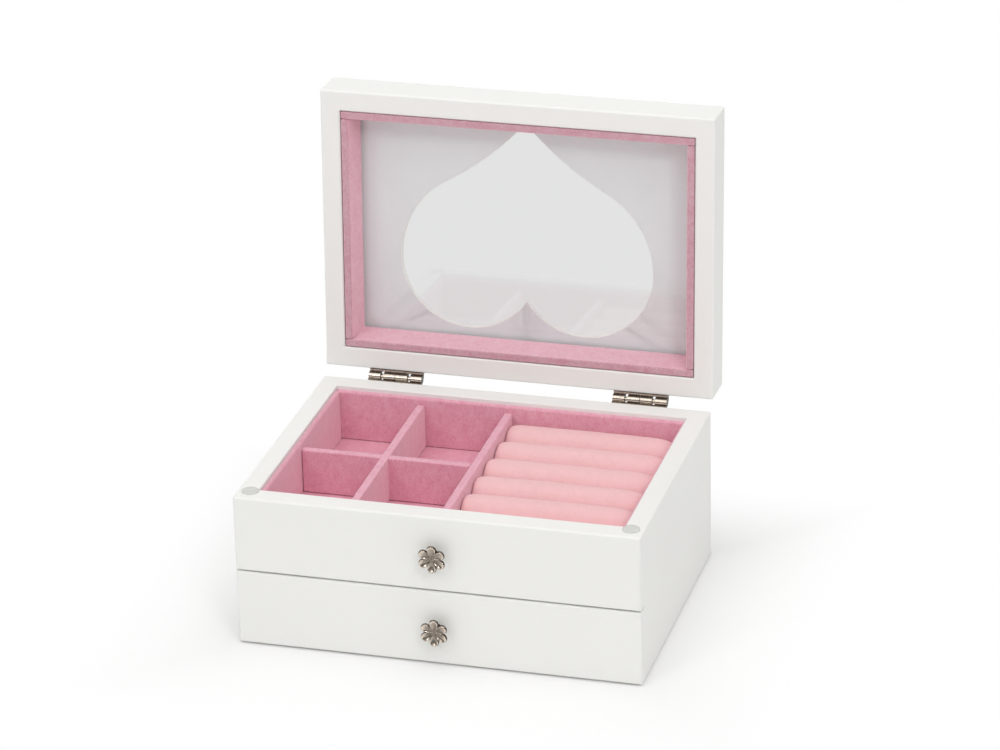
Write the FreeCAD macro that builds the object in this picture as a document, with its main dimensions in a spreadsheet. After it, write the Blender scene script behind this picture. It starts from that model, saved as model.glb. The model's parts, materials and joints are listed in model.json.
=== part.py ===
import FreeCAD, Part
import math
import os
import re
import Sketcher

# Jewelry box: a painted case with a lined tray and a drawer, and a glazed lid that stands open on two
# stop hinges. Millimetres, +Z up, +Y to the back. The origin is the middle of the felt base, on the
# surface that it stands on.
# Lid pieces are drawn closed, about the hinge line, and are then turned open together.

SIZES = {
    # painted case
    "case_width": 220.0,
    "case_depth": 160.0,
    "case_height": 85.0,
    "side_thickness": 11.0,
    "front_thickness": 12.0,
    "back_thickness": 11.5,
    "bottom_thickness": 6.0,
    "shelf_thickness": 6.0,
    "felt_thickness": 1.0,
    "felt_inset": 4.0,
    "edge_radius": 1.5,
    # seam between the fixed front and the drawer
    "seam_height": 42.25,
    "seam_gap": 0.8,
    # drawer
    "drawer_face_thickness": 7.0,
    "drawer_board_thickness": 6.0,
    "drawer_bottom_thickness": 3.0,
    "drawer_side_gap": 0.6,
    "drawer_run_gap": 0.3,
    "drawer_top_gap": 2.0,
    "drawer_end_gap": 2.5,
    "drawer_liner_thickness": 1.6,
    "drawer_liner_drop": 2.0,
    # tray
    "tray_depth": 31.4,
    "floor_pad_thickness": 1.6,
    "liner_thickness": 2.1,
    "liner_drop": 1.2,
    "divider_thickness": 4.4,
    "divider_drop": 6.0,
    "long_divider_offset": 50.1,
    "ring_divider_offset": 0.2,
    "cross_divider_offset": 1.6,
    "lap_clearance": 0.1,
    # ring rolls
    "roll_height": 22.9,
    "roll_roundness": 0.94,
    "roll_gap": 0.3,
    "roll_end_length": 7.0,
    "roll_end_draw": 2.2,
    # clear bumpers
    "bumper_diameter": 9.5,
    "bumper_thickness": 1.2,
    "bumper_side_inset": 7.0,
    "bumper_front_inset": 9.2,
    # lid
    "lid_height": 23.5,
    "lid_gap": 1.5,
    "lid_side_margin": 10.9,
    "lid_end_margin": 11.5,
    "panel_thickness": 3.0,
    "glass_thickness": 2.0,
    "glass_clearance": 0.2,
    "lid_liner_thickness": 4.0,
    "lid_liner_drop": 0.4,
    # heart window: margins to the lid's liner, and its arcs as shares of its own height
    "heart_tip_margin": 2.0,
    "heart_lobe_margin": 6.5,
    "heart_lobe_offset": 0.271,
    "heart_lobe_radius": 0.321,
    "heart_shoulder_radius": 0.433,
    "heart_hollow_radius": 1.378,
    # hinges
    "open_angle": 93.0,
    "hinge_setback": 3.7,
    "hinge_length": 30.4,
    "hinge_offset": 69.6,
    "knuckle_radius": 2.35,
    "knuckle_neck": 1.7,
    "knuckle_joint": 0.3,
    "pin_radius": 1.2,
    "pin_clearance": 0.05,
    "leaf_thickness": 1.2,
    "leaf_height": 14.0,
    "stop_reach": 3.4,
    "stop_gap": 0.12,
    # hinge screws
    "screw_radius": 1.0,
    "screw_length": 8.0,
    "screw_head_radius": 1.9,
    "screw_head_height": 1.0,
    "screw_clearance": 0.05,
    "screw_pilot_room": 0.5,
    "screw_spacing": 20.0,
    "screw_rise": 8.0,
    # flower knobs
    "knob_flange_radius": 3.6,
    "knob_flange_thickness": 1.0,
    "knob_neck_radius": 2.5,
    "knob_stand": 2.6,
    "petal_radius": 3.1,
    "petal_pitch": 4.7,
    "petal_depth": 5.0,
    "knob_screw_radius": 1.7,
    "knob_screw_grip": 5.0,
    "knob_screw_head_radius": 3.2,
    "knob_screw_head_height": 2.2,
    "knob_screw_clearance": 0.1,
}

ROLL_COUNT = 6
PETAL_COUNT = 6
KNUCKLE_COUNT = 4

# Two points closer than this are one.
NEAR = 0.001

# Where the roll's end sections stand along its drawn-in length, and how much of the draw is left there.
ROLL_STATIONS = ((0.0, 1.0), (0.2, 0.45), (0.55, 0.12), (1.0, 0.0))

SIDES = {"left": -1, "right": 1}

Vector = FreeCAD.Vector
Rotation = FreeCAD.Rotation

doc = FreeCAD.newDocument("JewelryBox")
sheet = doc.addObject("Spreadsheet::Sheet", "Sizes")
for row, (alias, number) in enumerate(SIZES.items(), start=1):
    sheet.set(f"A{row}", alias.replace("_", " "))
    sheet.set(f"B{row}", str(number))
    sheet.setAlias(f"B{row}", alias)
doc.recompute()

sub_parts = []


# Formulas name sizes of the sheet.

def formula(text):
    """Points each size that is named in a formula at its cell."""
    return re.sub(r"[a-z_]{2,}", lambda word: f"Sizes.{word[0]}" if word[0] in SIZES else word[0], text)


def bind(item, target, text):
    item.setExpression(target, formula(text))


def bind_place(item, target, place):
    for letter, text in zip("xyz", place):
        bind(item, f"{target}.{letter}", text)


def value(text):
    return float(sheet.evalExpression(formula(text)))


def span(pair):
    low, high = pair
    return f"(({high}) - ({low}))"


def middle(pair):
    low, high = pair
    return f"((({high}) + ({low})) / 2)"


def mirrored(sign, pair):
    """A pair of bounds as it is (1), or on the other side of zero (-1)."""
    low, high = pair
    return pair if sign > 0 else (f"-({high})", f"-({low})")


# Levels and faces of the case.

OUTER_X = "(case_width / 2)"
INNER_X = "(case_width / 2 - side_thickness)"
FRONT_Y = "(-case_depth / 2)"
BACK_Y = "(case_depth / 2)"
INNER_FRONT_Y = f"({FRONT_Y} + front_thickness)"
INNER_BACK_Y = f"({BACK_Y} - back_thickness)"
FACE_BACK_Y = f"({FRONT_Y} + drawer_face_thickness)"
FOOT_Z = "felt_thickness"
RIM_Z = "(felt_thickness + case_height)"
SEAM_LOW_Z = "(felt_thickness + seam_height - seam_gap / 2)"
SEAM_HIGH_Z = "(felt_thickness + seam_height + seam_gap / 2)"

# Tray, from its padded floor up.

FLOOR_Z = f"({RIM_Z} - tray_depth)"
SHELF_HIGH_Z = f"({FLOOR_Z} - floor_pad_thickness)"
SHELF_LOW_Z = f"({SHELF_HIGH_Z} - shelf_thickness)"
LINER_HIGH_Z = f"({RIM_Z} - liner_drop)"
DIVIDER_HIGH_Z = f"({RIM_Z} - divider_drop)"
LAP_Z = f"(({FLOOR_Z} + {DIVIDER_HIGH_Z}) / 2)"
LINED_X = f"({INNER_X} - liner_thickness)"
LINED_FRONT_Y = f"({INNER_FRONT_Y} + liner_thickness)"
LINED_BACK_Y = f"({INNER_BACK_Y} - liner_thickness)"

# Drawer box, below the seam and the shelf.

RUNNER_Z = "(felt_thickness + bottom_thickness)"
BOX_LOW_Z = f"({RUNNER_Z} + drawer_run_gap)"
BOX_HIGH_Z = f"(min({SEAM_LOW_Z}; {SHELF_LOW_Z}) - drawer_top_gap)"
BOX_X = f"({INNER_X} - drawer_side_gap)"
BOX_INNER_X = f"({BOX_X} - drawer_board_thickness)"
BOX_BACK_Y = f"({INNER_BACK_Y} - drawer_end_gap)"
BOX_INNER_FRONT_Y = f"({FACE_BACK_Y} + drawer_board_thickness)"
BOX_INNER_BACK_Y = f"({BOX_BACK_Y} - drawer_board_thickness)"
BOX_FLOOR_Z = f"({BOX_LOW_Z} + drawer_bottom_thickness)"
BOX_PAD_Z = f"({BOX_FLOOR_Z} + drawer_liner_thickness)"
BOX_LINER_Z = f"({BOX_HIGH_Z} - drawer_liner_drop)"

# Hinge line, and the closed lid measured from it.

HINGE_Y = f"({BACK_Y} + hinge_setback)"
HINGE_Z = f"({RIM_Z} + lid_gap / 2)"
LID_BACK_Y = "(-hinge_setback)"
LID_FRONT_Y = f"({LID_BACK_Y} - case_depth)"
LID_LOW_Z = "(lid_gap / 2)"
LID_HIGH_Z = f"({LID_LOW_Z} + lid_height)"
PANEL_LOW_Z = f"({LID_HIGH_Z} - panel_thickness)"
GLASS_LOW_Z = f"({PANEL_LOW_Z} - glass_thickness)"
LID_OPEN_X = "(case_width / 2 - lid_side_margin)"
LID_OPEN_FRONT_Y = f"({LID_FRONT_Y} + lid_end_margin)"
LID_OPEN_BACK_Y = f"({LID_BACK_Y} - lid_end_margin)"
LEAF_FACE_Y = f"({LID_BACK_Y} + leaf_thickness)"

# Holes that clear their screws and pins, and the stop that the lid's plate lands on when it is open.

KNOB_HOLE = "(knob_screw_radius + knob_screw_clearance)"
PIN_BORE = "(pin_radius + pin_clearance)"
SCREW_HOLE = "(screw_radius + screw_clearance)"
SWING = "open_angle * 1 deg"
PLATE_UNDERSIDE = "(hinge_setback - leaf_thickness)"
STOP_NEAR_Z = f"({PLATE_UNDERSIDE} / sin({SWING}))"
STOP_FAR_Z = f"(({PLATE_UNDERSIDE} + stop_reach * cos({SWING})) / sin({SWING}))"
STOP_Z = f"(min({STOP_NEAR_Z}; {STOP_FAR_Z}) - stop_gap)"


# Ways to make a piece.

def keep(item, name):
    """Lists an object as a sub-part under its own name."""
    item.Label = name
    sub_parts.append(item)
    return item


def open_with_lid(item):
    """Hangs a piece that is drawn about the hinge line on the open lid."""
    item.Placement = FreeCAD.Placement(Vector(), Rotation(Vector(-1, 0, 0), value("open_angle")))
    bind_place(item, "Placement.Base", ("0", HINGE_Y, HINGE_Z))
    bind(item, "Placement.Rotation.Angle", "open_angle")
    return item


def new_sketch(body, name, role, place):
    """Sketch on an origin plane of its body, moved along that plane's own axes."""
    sketch = body.newObject("Sketcher::SketchObject", name)
    plane = next(item for item in body.Origin.OriginFeatures if item.Role == role)
    sketch.AttachmentSupport = [(plane, "")]
    sketch.MapMode = "FlatFace"
    bind_place(sketch, "AttachmentOffset.Base", place)
    return sketch


def dimension(sketch, text, kind, *where):
    """Driving dimension, bound to a formula."""
    index = sketch.addConstraint(Sketcher.Constraint(kind, *where, value(text)))
    bind(sketch, f"Constraints[{index}]", text)


def constrain(sketch, *rules):
    for rule in rules:
        sketch.addConstraint(Sketcher.Constraint(*rule))


def draw_rectangle(sketch, width, height):
    """Rectangle with its lower corner on the sketch's origin."""
    across = value(width)
    up = value(height)
    corners = [Vector(0, 0), Vector(across, 0), Vector(across, up), Vector(0, up)]
    for start, end in zip(corners, corners[1:] + corners[:1]):
        sketch.addGeometry(Part.LineSegment(start, end))
    joins = [("Coincident", side, 2, (side + 1) % 4, 1) for side in range(4)]
    constrain(sketch, *joins, ("Horizontal", 0), ("Vertical", 1), ("Horizontal", 2), ("Vertical", 3))
    constrain(sketch, ("Coincident", 0, 1, -1, 1))
    dimension(sketch, width, "DistanceX", 0, 1, 0, 2)
    dimension(sketch, height, "DistanceY", 1, 1, 1, 2)


def board(name, x, y, z):
    """Board between pairs of X, Y and Z bounds."""
    body = doc.addObject("PartDesign::Body", name)
    sketch = new_sketch(body, f"{name}_outline", "XY_Plane", (x[0], y[0], z[0]))
    draw_rectangle(sketch, span(x), span(y))
    pad = body.newObject("PartDesign::Pad", f"{name}_pad")
    pad.Profile = sketch
    bind(pad, "Length", span(z))
    return keep(body, name)


def notch(body, name, x, y, z):
    """Takes a rectangular bite out of a board."""
    sketch = new_sketch(body, f"{name}_outline", "XY_Plane", (x[0], y[0], z[0]))
    draw_rectangle(sketch, span(x), span(y))
    pocket = body.newObject("PartDesign::Pocket", name)
    pocket.Profile = sketch
    pocket.Reversed = True
    bind(pocket, "Length", span(z))


def drill(body, name, start, radius, depth, forward):
    """Round hole along Y from a start point, forward to -Y or back to +Y."""
    x, y, z = start
    sketch = new_sketch(body, f"{name}_outline", "XZ_Plane", (x, z, f"-({y})"))
    sketch.addGeometry(Part.Circle(Vector(), Vector(0, 0, 1), value(radius)))
    constrain(sketch, ("Coincident", 0, 3, -1, 1))
    dimension(sketch, radius, "Radius", 0)
    pocket = body.newObject("PartDesign::Pocket", name)
    pocket.Profile = sketch
    pocket.Reversed = forward
    bind(pocket, "Length", depth)


def ease(body, name, on_edge):
    """Rounds the edges whose end points all pass a test."""
    doc.recompute()
    base = body.Tip
    edges = [f"Edge{number}" for number, edge in enumerate(base.Shape.Edges, start=1)
             if all(on_edge(vertex.Point) for vertex in edge.Vertexes)]
    fillet = body.newObject("PartDesign::Fillet", name)
    fillet.Base = (base, edges)
    bind(fillet, "Radius", "edge_radius")


def block(name, x, y, z):
    item = doc.addObject("Part::Box", name)
    bind_place(item, "Placement.Base", (x[0], y[0], z[0]))
    for side, pair in zip(("Length", "Width", "Height"), (x, y, z)):
        bind(item, side, span(pair))
    return item


ROD_TURNS = {
    "X": Rotation(Vector(0, 1, 0), 90),
    "Y": Rotation(Vector(1, 0, 0), -90),
    "Z": Rotation(),
}


def rod(name, axis, start, radius, length):
    """Cylinder that runs up an axis from its start point."""
    item = doc.addObject("Part::Cylinder", name)
    item.Placement = FreeCAD.Placement(Vector(), ROD_TURNS[axis])
    bind_place(item, "Placement.Base", start)
    bind(item, "Radius", radius)
    bind(item, "Height", length)
    return item


def fuse(name, items):
    item = doc.addObject("Part::MultiFuse", name)
    item.Shapes = items
    return item


def cut(name, base, tool):
    item = doc.addObject("Part::Cut", name)
    item.Base = base
    item.Tool = tool
    return item


# Case.

def make_case():
    for side, sign in SIDES.items():
        x = mirrored(sign, (INNER_X, OUTER_X))
        panel = board(f"case_side_{side}", x, (FRONT_Y, BACK_Y), (FOOT_Z, RIM_Z))
        notch(panel, f"face_rebate_{side}", x, (FRONT_Y, FACE_BACK_Y), (FOOT_Z, SEAM_HIGH_Z))
    x = (f"-{INNER_X}", INNER_X)
    back = board("case_back", x, (INNER_BACK_Y, BACK_Y), (FOOT_Z, RIM_Z))
    drill_hinge_pilots(back, "case", BACK_Y, f"({HINGE_Z} - screw_rise)")
    board("case_bottom", x, (FACE_BACK_Y, INNER_BACK_Y), (FOOT_Z, RUNNER_Z))
    felt_x = f"({OUTER_X} - felt_inset)"
    felt_y = (f"({FACE_BACK_Y} + felt_inset)", f"({BACK_Y} - felt_inset)")
    board("base_felt", (f"-{felt_x}", felt_x), felt_y, ("0", FOOT_Z))
    front = board("tray_front", x, (FRONT_Y, INNER_FRONT_Y), (SEAM_HIGH_Z, RIM_Z))
    drill_for_knob(front, "tray", (FRONT_Y, INNER_FRONT_Y), middle((SEAM_HIGH_Z, RIM_Z)))
    board("tray_shelf", x, (INNER_FRONT_Y, INNER_BACK_Y), (SHELF_LOW_Z, SHELF_HIGH_Z))


# Velvet covered lining of the tray, its dividers and its bumpers.

def make_tray():
    x = (f"-{INNER_X}", INNER_X)
    walls = (FLOOR_Z, LINER_HIGH_Z)
    board("tray_liner_floor", x, (INNER_FRONT_Y, INNER_BACK_Y), (SHELF_HIGH_Z, FLOOR_Z))
    board("tray_liner_front", x, (INNER_FRONT_Y, LINED_FRONT_Y), walls)
    board("tray_liner_back", x, (LINED_BACK_Y, INNER_BACK_Y), walls)
    for side, sign in SIDES.items():
        board(f"tray_liner_{side}", mirrored(sign, (LINED_X, INNER_X)), (LINED_FRONT_Y, LINED_BACK_Y), walls)
    height = (FLOOR_Z, DIVIDER_HIGH_Z)
    long_x = divider_bounds("long_divider_offset")
    cross_y = divider_bounds("cross_divider_offset")
    ring_x = divider_bounds("ring_divider_offset")
    long_divider = board("tray_long_divider", long_x, (LINED_FRONT_Y, LINED_BACK_Y), height)
    notch(long_divider, "long_lap", long_x, loose(cross_y), (LAP_Z, DIVIDER_HIGH_Z))
    board("ring_divider", ring_x, (LINED_FRONT_Y, LINED_BACK_Y), height)
    cross_divider = board("tray_cross_divider", (f"-{LINED_X}", ring_x[0]), cross_y, height)
    notch(cross_divider, "cross_lap", loose(long_x), cross_y, (FLOOR_Z, f"{LAP_Z} + lap_clearance"))
    for side, sign in SIDES.items():
        place = (f"{sign} * ({OUTER_X} - bumper_side_inset)", f"{FRONT_Y} + bumper_front_inset", RIM_Z)
        keep(rod(f"bumper_{side}", "Z", place, "bumper_diameter / 2", "bumper_thickness"), f"bumper_{side}")


def loose(pair):
    """A pair of bounds, opened by the lap joint's clearance."""
    low, high = pair
    return (f"({low}) - lap_clearance", f"({high}) + lap_clearance")


def divider_bounds(offset):
    """Faces of a divider that stands off the middle by a named size, to the left or the front."""
    return (f"(-{offset} - divider_thickness / 2)", f"(-{offset} + divider_thickness / 2)")


# Ring rolls: flat below, nearly half round above, drawn in at both ends.

def draw_roll_section(sketch, half, top):
    rise = f"(roll_roundness * ({half}))"
    wall = f"(({top}) - {rise})"
    radius = f"((({half}) ^ 2 + {rise} ^ 2) / (2 * {rise}))"
    reach = value(half)
    shoulder = value(wall)
    crown = Vector(0, value(top))
    low_left = Vector(-reach, 0)
    low_right = Vector(reach, 0)
    high_left = Vector(-reach, shoulder)
    high_right = Vector(reach, shoulder)
    sketch.addGeometry(Part.LineSegment(low_left, low_right))
    sketch.addGeometry(Part.LineSegment(low_right, high_right))
    sketch.addGeometry(Part.Arc(high_right, crown, high_left))
    sketch.addGeometry(Part.LineSegment(high_left, low_left))
    joins = [("Coincident", side, 2, (side + 1) % 4, 1) for side in range(4)]
    constrain(sketch, *joins, ("Vertical", 1), ("Vertical", 3), ("Equal", 1, 3))
    constrain(sketch, ("Symmetric", 0, 1, 0, 2, -2), ("PointOnObject", 0, 1, -1))
    dimension(sketch, f"2 * ({half})", "DistanceX", 0, 1, 0, 2)
    dimension(sketch, wall, "DistanceY", 1, 1, 1, 2)
    dimension(sketch, radius, "Radius", 2)


def make_ring_rolls():
    pitch = f"({span((LINED_FRONT_Y, LINED_BACK_Y))} / {ROLL_COUNT})"
    low_x = f"({divider_bounds('ring_divider_offset')[1]} + roll_gap)"
    high_x = f"({LINED_X} - roll_gap)"
    for number in range(1, ROLL_COUNT + 1):
        name = f"ring_roll_{number}"
        centre_y = f"{LINED_BACK_Y} - {pitch} * {number - 0.5}"
        body = doc.addObject("PartDesign::Body", name)
        stations = [(f"{low_x} + roll_end_length * {along}", drawn) for along, drawn in ROLL_STATIONS]
        for along, drawn in reversed(ROLL_STATIONS):
            stations.append((f"{high_x} - roll_end_length * {along}", drawn))
        sections = []
        for index, (x, drawn) in enumerate(stations):
            sketch = new_sketch(body, f"{name}_section_{index}", "YZ_Plane", (centre_y, FLOOR_Z, x))
            half = f"(({pitch} - roll_gap) / 2 - roll_end_draw * {drawn})"
            draw_roll_section(sketch, half, f"(roll_height - roll_end_draw * {drawn})")
            sections.append(sketch)
        loft = body.newObject("PartDesign::AdditiveLoft", f"{name}_loft")
        loft.Profile = sections[0]
        loft.Sections = sections[1:]
        loft.Ruled = True
        keep(body, name)


# Drawer.

def make_drawer():
    face = board("drawer_front", (f"-{OUTER_X}", OUTER_X), (FRONT_Y, FACE_BACK_Y), (FOOT_Z, SEAM_LOW_Z))
    knob_z = middle((FOOT_Z, SEAM_LOW_Z))
    drill(face, "drawer_front_bore", ("0", FRONT_Y, knob_z), KNOB_HOLE, "drawer_face_thickness", False)
    front = value(FRONT_Y)
    end = value(OUTER_X)
    ease(face, "drawer_front_easing", lambda point: point.y < front + NEAR and abs(point.x) > end - NEAR)
    height = (BOX_LOW_Z, BOX_HIGH_Z)
    box_front = board("drawer_box_front", (f"-{BOX_X}", BOX_X), (FACE_BACK_Y, BOX_INNER_FRONT_Y), height)
    drill_for_knob(box_front, "drawer", (FACE_BACK_Y, BOX_INNER_FRONT_Y), knob_z)
    board("drawer_back", (f"-{BOX_X}", BOX_X), (BOX_INNER_BACK_Y, BOX_BACK_Y), height)
    inside_y = (BOX_INNER_FRONT_Y, BOX_INNER_BACK_Y)
    inside_x = (f"-{BOX_INNER_X}", BOX_INNER_X)
    board("drawer_bottom", inside_x, inside_y, (BOX_LOW_Z, BOX_FLOOR_Z))
    board("drawer_liner_floor", inside_x, inside_y, (BOX_FLOOR_Z, BOX_PAD_Z))
    walls = (BOX_PAD_Z, BOX_LINER_Z)
    lined_y = (f"{inside_y[0]} + drawer_liner_thickness", f"{inside_y[1]} - drawer_liner_thickness")
    board("drawer_liner_front", inside_x, (inside_y[0], lined_y[0]), walls)
    board("drawer_liner_back", inside_x, (lined_y[1], inside_y[1]), walls)
    for side, sign in SIDES.items():
        board(f"drawer_side_{side}", mirrored(sign, (BOX_INNER_X, BOX_X)), inside_y, height)
        lined_x = mirrored(sign, (f"{BOX_INNER_X} - drawer_liner_thickness", BOX_INNER_X))
        board(f"drawer_liner_{side}", lined_x, lined_y, walls)


# Lid.

def make_lid():
    across = (f"-{OUTER_X}", OUTER_X)
    frame_z = (LID_LOW_Z, PANEL_LOW_Z)
    front = board("lid_rail_front", across, (LID_FRONT_Y, LID_OPEN_FRONT_Y), frame_z)
    back = board("lid_rail_back", across, (LID_OPEN_BACK_Y, LID_BACK_Y), frame_z)
    drill_hinge_pilots(back, "lid", LID_BACK_Y, "screw_rise")
    window_y = (LID_OPEN_FRONT_Y, LID_OPEN_BACK_Y)
    window_x = (f"-{LID_OPEN_X}", LID_OPEN_X)
    pane_x = (f"-({LID_OPEN_X} - glass_clearance)", f"({LID_OPEN_X} - glass_clearance)")
    pane_y = (f"{LID_OPEN_FRONT_Y} + glass_clearance", f"{LID_OPEN_BACK_Y} - glass_clearance")
    glass = board("lid_glass", pane_x, pane_y, (GLASS_LOW_Z, PANEL_LOW_Z))
    strip_z = (f"({LID_LOW_Z} + lid_liner_drop)", GLASS_LOW_Z)
    lined_y = (f"({LID_OPEN_FRONT_Y} + lid_liner_thickness)", f"({LID_OPEN_BACK_Y} - lid_liner_thickness)")
    front_strip = board("lid_liner_front", window_x, (LID_OPEN_FRONT_Y, lined_y[0]), strip_z)
    back_strip = board("lid_liner_back", window_x, (lined_y[1], LID_OPEN_BACK_Y), strip_z)
    pieces = [front, back, glass, front_strip, back_strip, make_lid_panel(across, lined_y)]
    for side, sign in SIDES.items():
        pieces.append(board(f"lid_rail_{side}", mirrored(sign, (LID_OPEN_X, OUTER_X)), window_y, frame_z))
        strip_x = mirrored(sign, (f"{LID_OPEN_X} - lid_liner_thickness", LID_OPEN_X))
        pieces.append(board(f"lid_liner_{side}", strip_x, lined_y, strip_z))
    for piece in pieces:
        open_with_lid(piece)


def make_lid_panel(across, lined_y):
    """Top board whose heart window points its tip at the lid's front edge."""
    panel = board("lid_panel", across, (LID_FRONT_Y, LID_BACK_Y), (PANEL_LOW_Z, LID_HIGH_Z))
    tip_y = f"({lined_y[0]} + heart_tip_margin)"
    lobe_end_y = f"({lined_y[1]} - heart_lobe_margin)"
    height = span((tip_y, lobe_end_y))
    lobe_radius = f"(heart_lobe_radius * {height})"
    lobe_y = f"({lobe_end_y} - {lobe_radius})"
    sketch = new_sketch(panel, "heart_half", "XY_Plane", ("0", lobe_y, PANEL_LOW_Z))
    draw_heart_half(sketch, height, lobe_radius, f"({lobe_y} - {tip_y})")
    window = panel.newObject("PartDesign::Pocket", "heart_window_half")
    window.Profile = sketch
    window.Reversed = True
    bind(window, "Length", "panel_thickness")
    both = panel.newObject("PartDesign::Mirrored", "heart_window")
    both.Originals = [window]
    both.MirrorPlane = (next(item for item in panel.Origin.OriginFeatures if item.Role == "YZ_Plane"), [""])
    panel.Tip = both
    top = value(LID_HIGH_Z)
    ease(panel, "lid_panel_easing", lambda point: abs(point.z - top) < NEAR and on_lid_border(point))
    return panel


def on_lid_border(point):
    on_side = abs(abs(point.x) - value(OUTER_X)) < NEAR
    return on_side or min(abs(point.y - value(LID_FRONT_Y)), abs(point.y - value(LID_BACK_Y))) < NEAR


def draw_heart_half(sketch, height, lobe_radius, tip_drop):
    """Right half: lobe, shoulder from the widest point, and hollow flank down to the tip."""
    lobe_offset = f"(heart_lobe_offset * {height})"
    shoulder_radius = f"(heart_shoulder_radius * {height})"
    hollow_radius = f"(heart_hollow_radius * {height})"
    lobe = value(lobe_radius)
    shoulder = value(shoulder_radius)
    hollow = value(hollow_radius)
    lobe_centre = Vector(value(lobe_offset), 0)
    widest = lobe_centre + Vector(lobe, 0)
    shoulder_centre = widest - Vector(shoulder, 0)
    tip = Vector(0, -value(tip_drop))
    notch_point = Vector(0, math.sqrt(lobe ** 2 - lobe_centre.x ** 2))
    hollow_centre = tangent_centre(shoulder_centre, shoulder, tip, hollow)
    flank = shoulder_centre + (hollow_centre - shoulder_centre) * (shoulder / (shoulder + hollow))
    sketch.addGeometry(arc_between(lobe_centre, lobe, widest, notch_point))
    sketch.addGeometry(arc_between(shoulder_centre, shoulder, flank, widest))
    sketch.addGeometry(arc_between(hollow_centre, hollow, flank, tip))
    sketch.addGeometry(Part.LineSegment(tip, notch_point))
    constrain(sketch, ("Tangent", 0, 1, 1, 2), ("Tangent", 1, 1, 2, 1))
    constrain(sketch, ("Coincident", 2, 2, 3, 1), ("Coincident", 3, 2, 0, 2))
    constrain(sketch, ("PointOnObject", 3, 1, -2), ("PointOnObject", 3, 2, -2))
    constrain(sketch, ("PointOnObject", 0, 3, -1), ("PointOnObject", 0, 1, -1))
    dimension(sketch, lobe_offset, "DistanceX", -1, 1, 0, 3)
    dimension(sketch, lobe_radius, "Radius", 0)
    dimension(sketch, shoulder_radius, "Radius", 1)
    dimension(sketch, hollow_radius, "Radius", 2)
    dimension(sketch, tip_drop, "DistanceY", 3, 1, -1, 1)


def tangent_centre(centre, radius, through, other_radius):
    """Centre of an arc that passes through a point and touches a circle from outside, on the side of +X."""
    line = through - centre
    length = line.Length
    along = ((radius + other_radius) ** 2 - other_radius ** 2 + length ** 2) / (2 * length)
    aside = math.sqrt((radius + other_radius) ** 2 - along ** 2)
    unit = line / length
    return max((centre + unit * along + Vector(-unit.y, unit.x) * (way * aside) for way in (-1, 1)),
               key=lambda point: point.x)


def arc_between(centre, radius, start, end):
    """Arc from start to end, counter-clockwise about its centre."""
    angles = [math.atan2(point.y - centre.y, point.x - centre.x) for point in (start, end)]
    if angles[1] < angles[0]:
        angles[1] += 2 * math.pi
    return Part.ArcOfCircle(Part.Circle(centre, Vector(0, 0, 1), radius), *angles)


# Hinges: knuckles 0 and 2 belong to the lid's leaf, 1 and 3 to the case's, which also carries the stops.

KNUCKLE_LENGTH = f"((hinge_length - 2 * knuckle_neck - knuckle_joint) / {KNUCKLE_COUNT})"


def knuckle_start(number):
    """X of a knuckle from the hinge's left end: necks after the first and third, a joint between."""
    necks = (number + 1) // 2
    joints = number // 2
    return f"({number} * {KNUCKLE_LENGTH} + {necks} * knuckle_neck + {joints} * knuckle_joint)"


def hinge_screw_places():
    for side, sign in SIDES.items():
        for end in (-1, 1):
            yield f"({sign} * hinge_offset + {end} * screw_spacing / 2)"


def drill_hinge_pilots(body, owner, face_y, screw_z):
    for number, x in enumerate(hinge_screw_places(), start=1):
        depth = "screw_length - leaf_thickness + screw_pilot_room"
        drill(body, f"{owner}_pilot_{number}", (x, face_y, screw_z), SCREW_HOLE, depth, True)


def make_leaf(side, sign, owner, up, knuckles):
    """Leaf about the hinge line: its plate goes up the lid's back (up 1) or down the case's back (up -1)."""
    name = f"hinge_{side}_{owner}_leaf"
    left = f"({sign} * hinge_offset - hinge_length / 2)"
    plate_x = (left, f"({left} + hinge_length)")
    height = mirrored(up, (LID_LOW_Z, "leaf_height"))
    solids = [block(f"{name}_plate", plate_x, (LID_BACK_Y, LEAF_FACE_Y), height)]
    for number in knuckles:
        start = f"({left} + {knuckle_start(number)})"
        reach = (start, f"({start} + {KNUCKLE_LENGTH})")
        curl = mirrored(up, ("knuckle_radius - leaf_thickness", "knuckle_radius"))
        barrel = f"{name}_knuckle_{number}"
        solids.append(rod(barrel, "X", (start, "0", "0"), "knuckle_radius", KNUCKLE_LENGTH))
        solids.append(block(f"{name}_curl_{number}", reach, (LID_BACK_Y, "0"), curl))
        if owner == "case":
            solids.append(block(f"{name}_stop_{number}", reach, ("0", "stop_reach"), ("0", STOP_Z)))
    holes = [rod(f"{name}_bore", "X", (left, "0", "0"), PIN_BORE, "hinge_length")]
    for end in (-1, 1):
        x = f"({sign} * hinge_offset + {end} * screw_spacing / 2)"
        place = (x, LID_BACK_Y, f"{up} * screw_rise")
        holes.append(rod(f"{name}_hole_{end + 2}", "Y", place, SCREW_HOLE, "leaf_thickness"))
    leaf = cut(name, fuse(f"{name}_blank", solids), fuse(f"{name}_holes", holes))
    return keep(leaf, name)


def make_screws(owner, up):
    screws = []
    for number, x in enumerate(hinge_screw_places(), start=1):
        name = f"{owner}_hinge_screw_{number}"
        tip_y = f"({LEAF_FACE_Y} - screw_length)"
        z = f"{up} * screw_rise"
        shank = rod(f"{name}_shank", "Y", (x, tip_y, z), "screw_radius", "screw_length")
        head = rod(f"{name}_head", "Y", (x, LEAF_FACE_Y, z), "screw_head_radius", "screw_head_height")
        screws.append(fuse(name, [shank, head]))
    group = doc.addObject("Part::Compound", f"{owner}_hinge_screws")
    group.Links = screws
    return keep(group, f"{owner}_hinge_screws")


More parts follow.
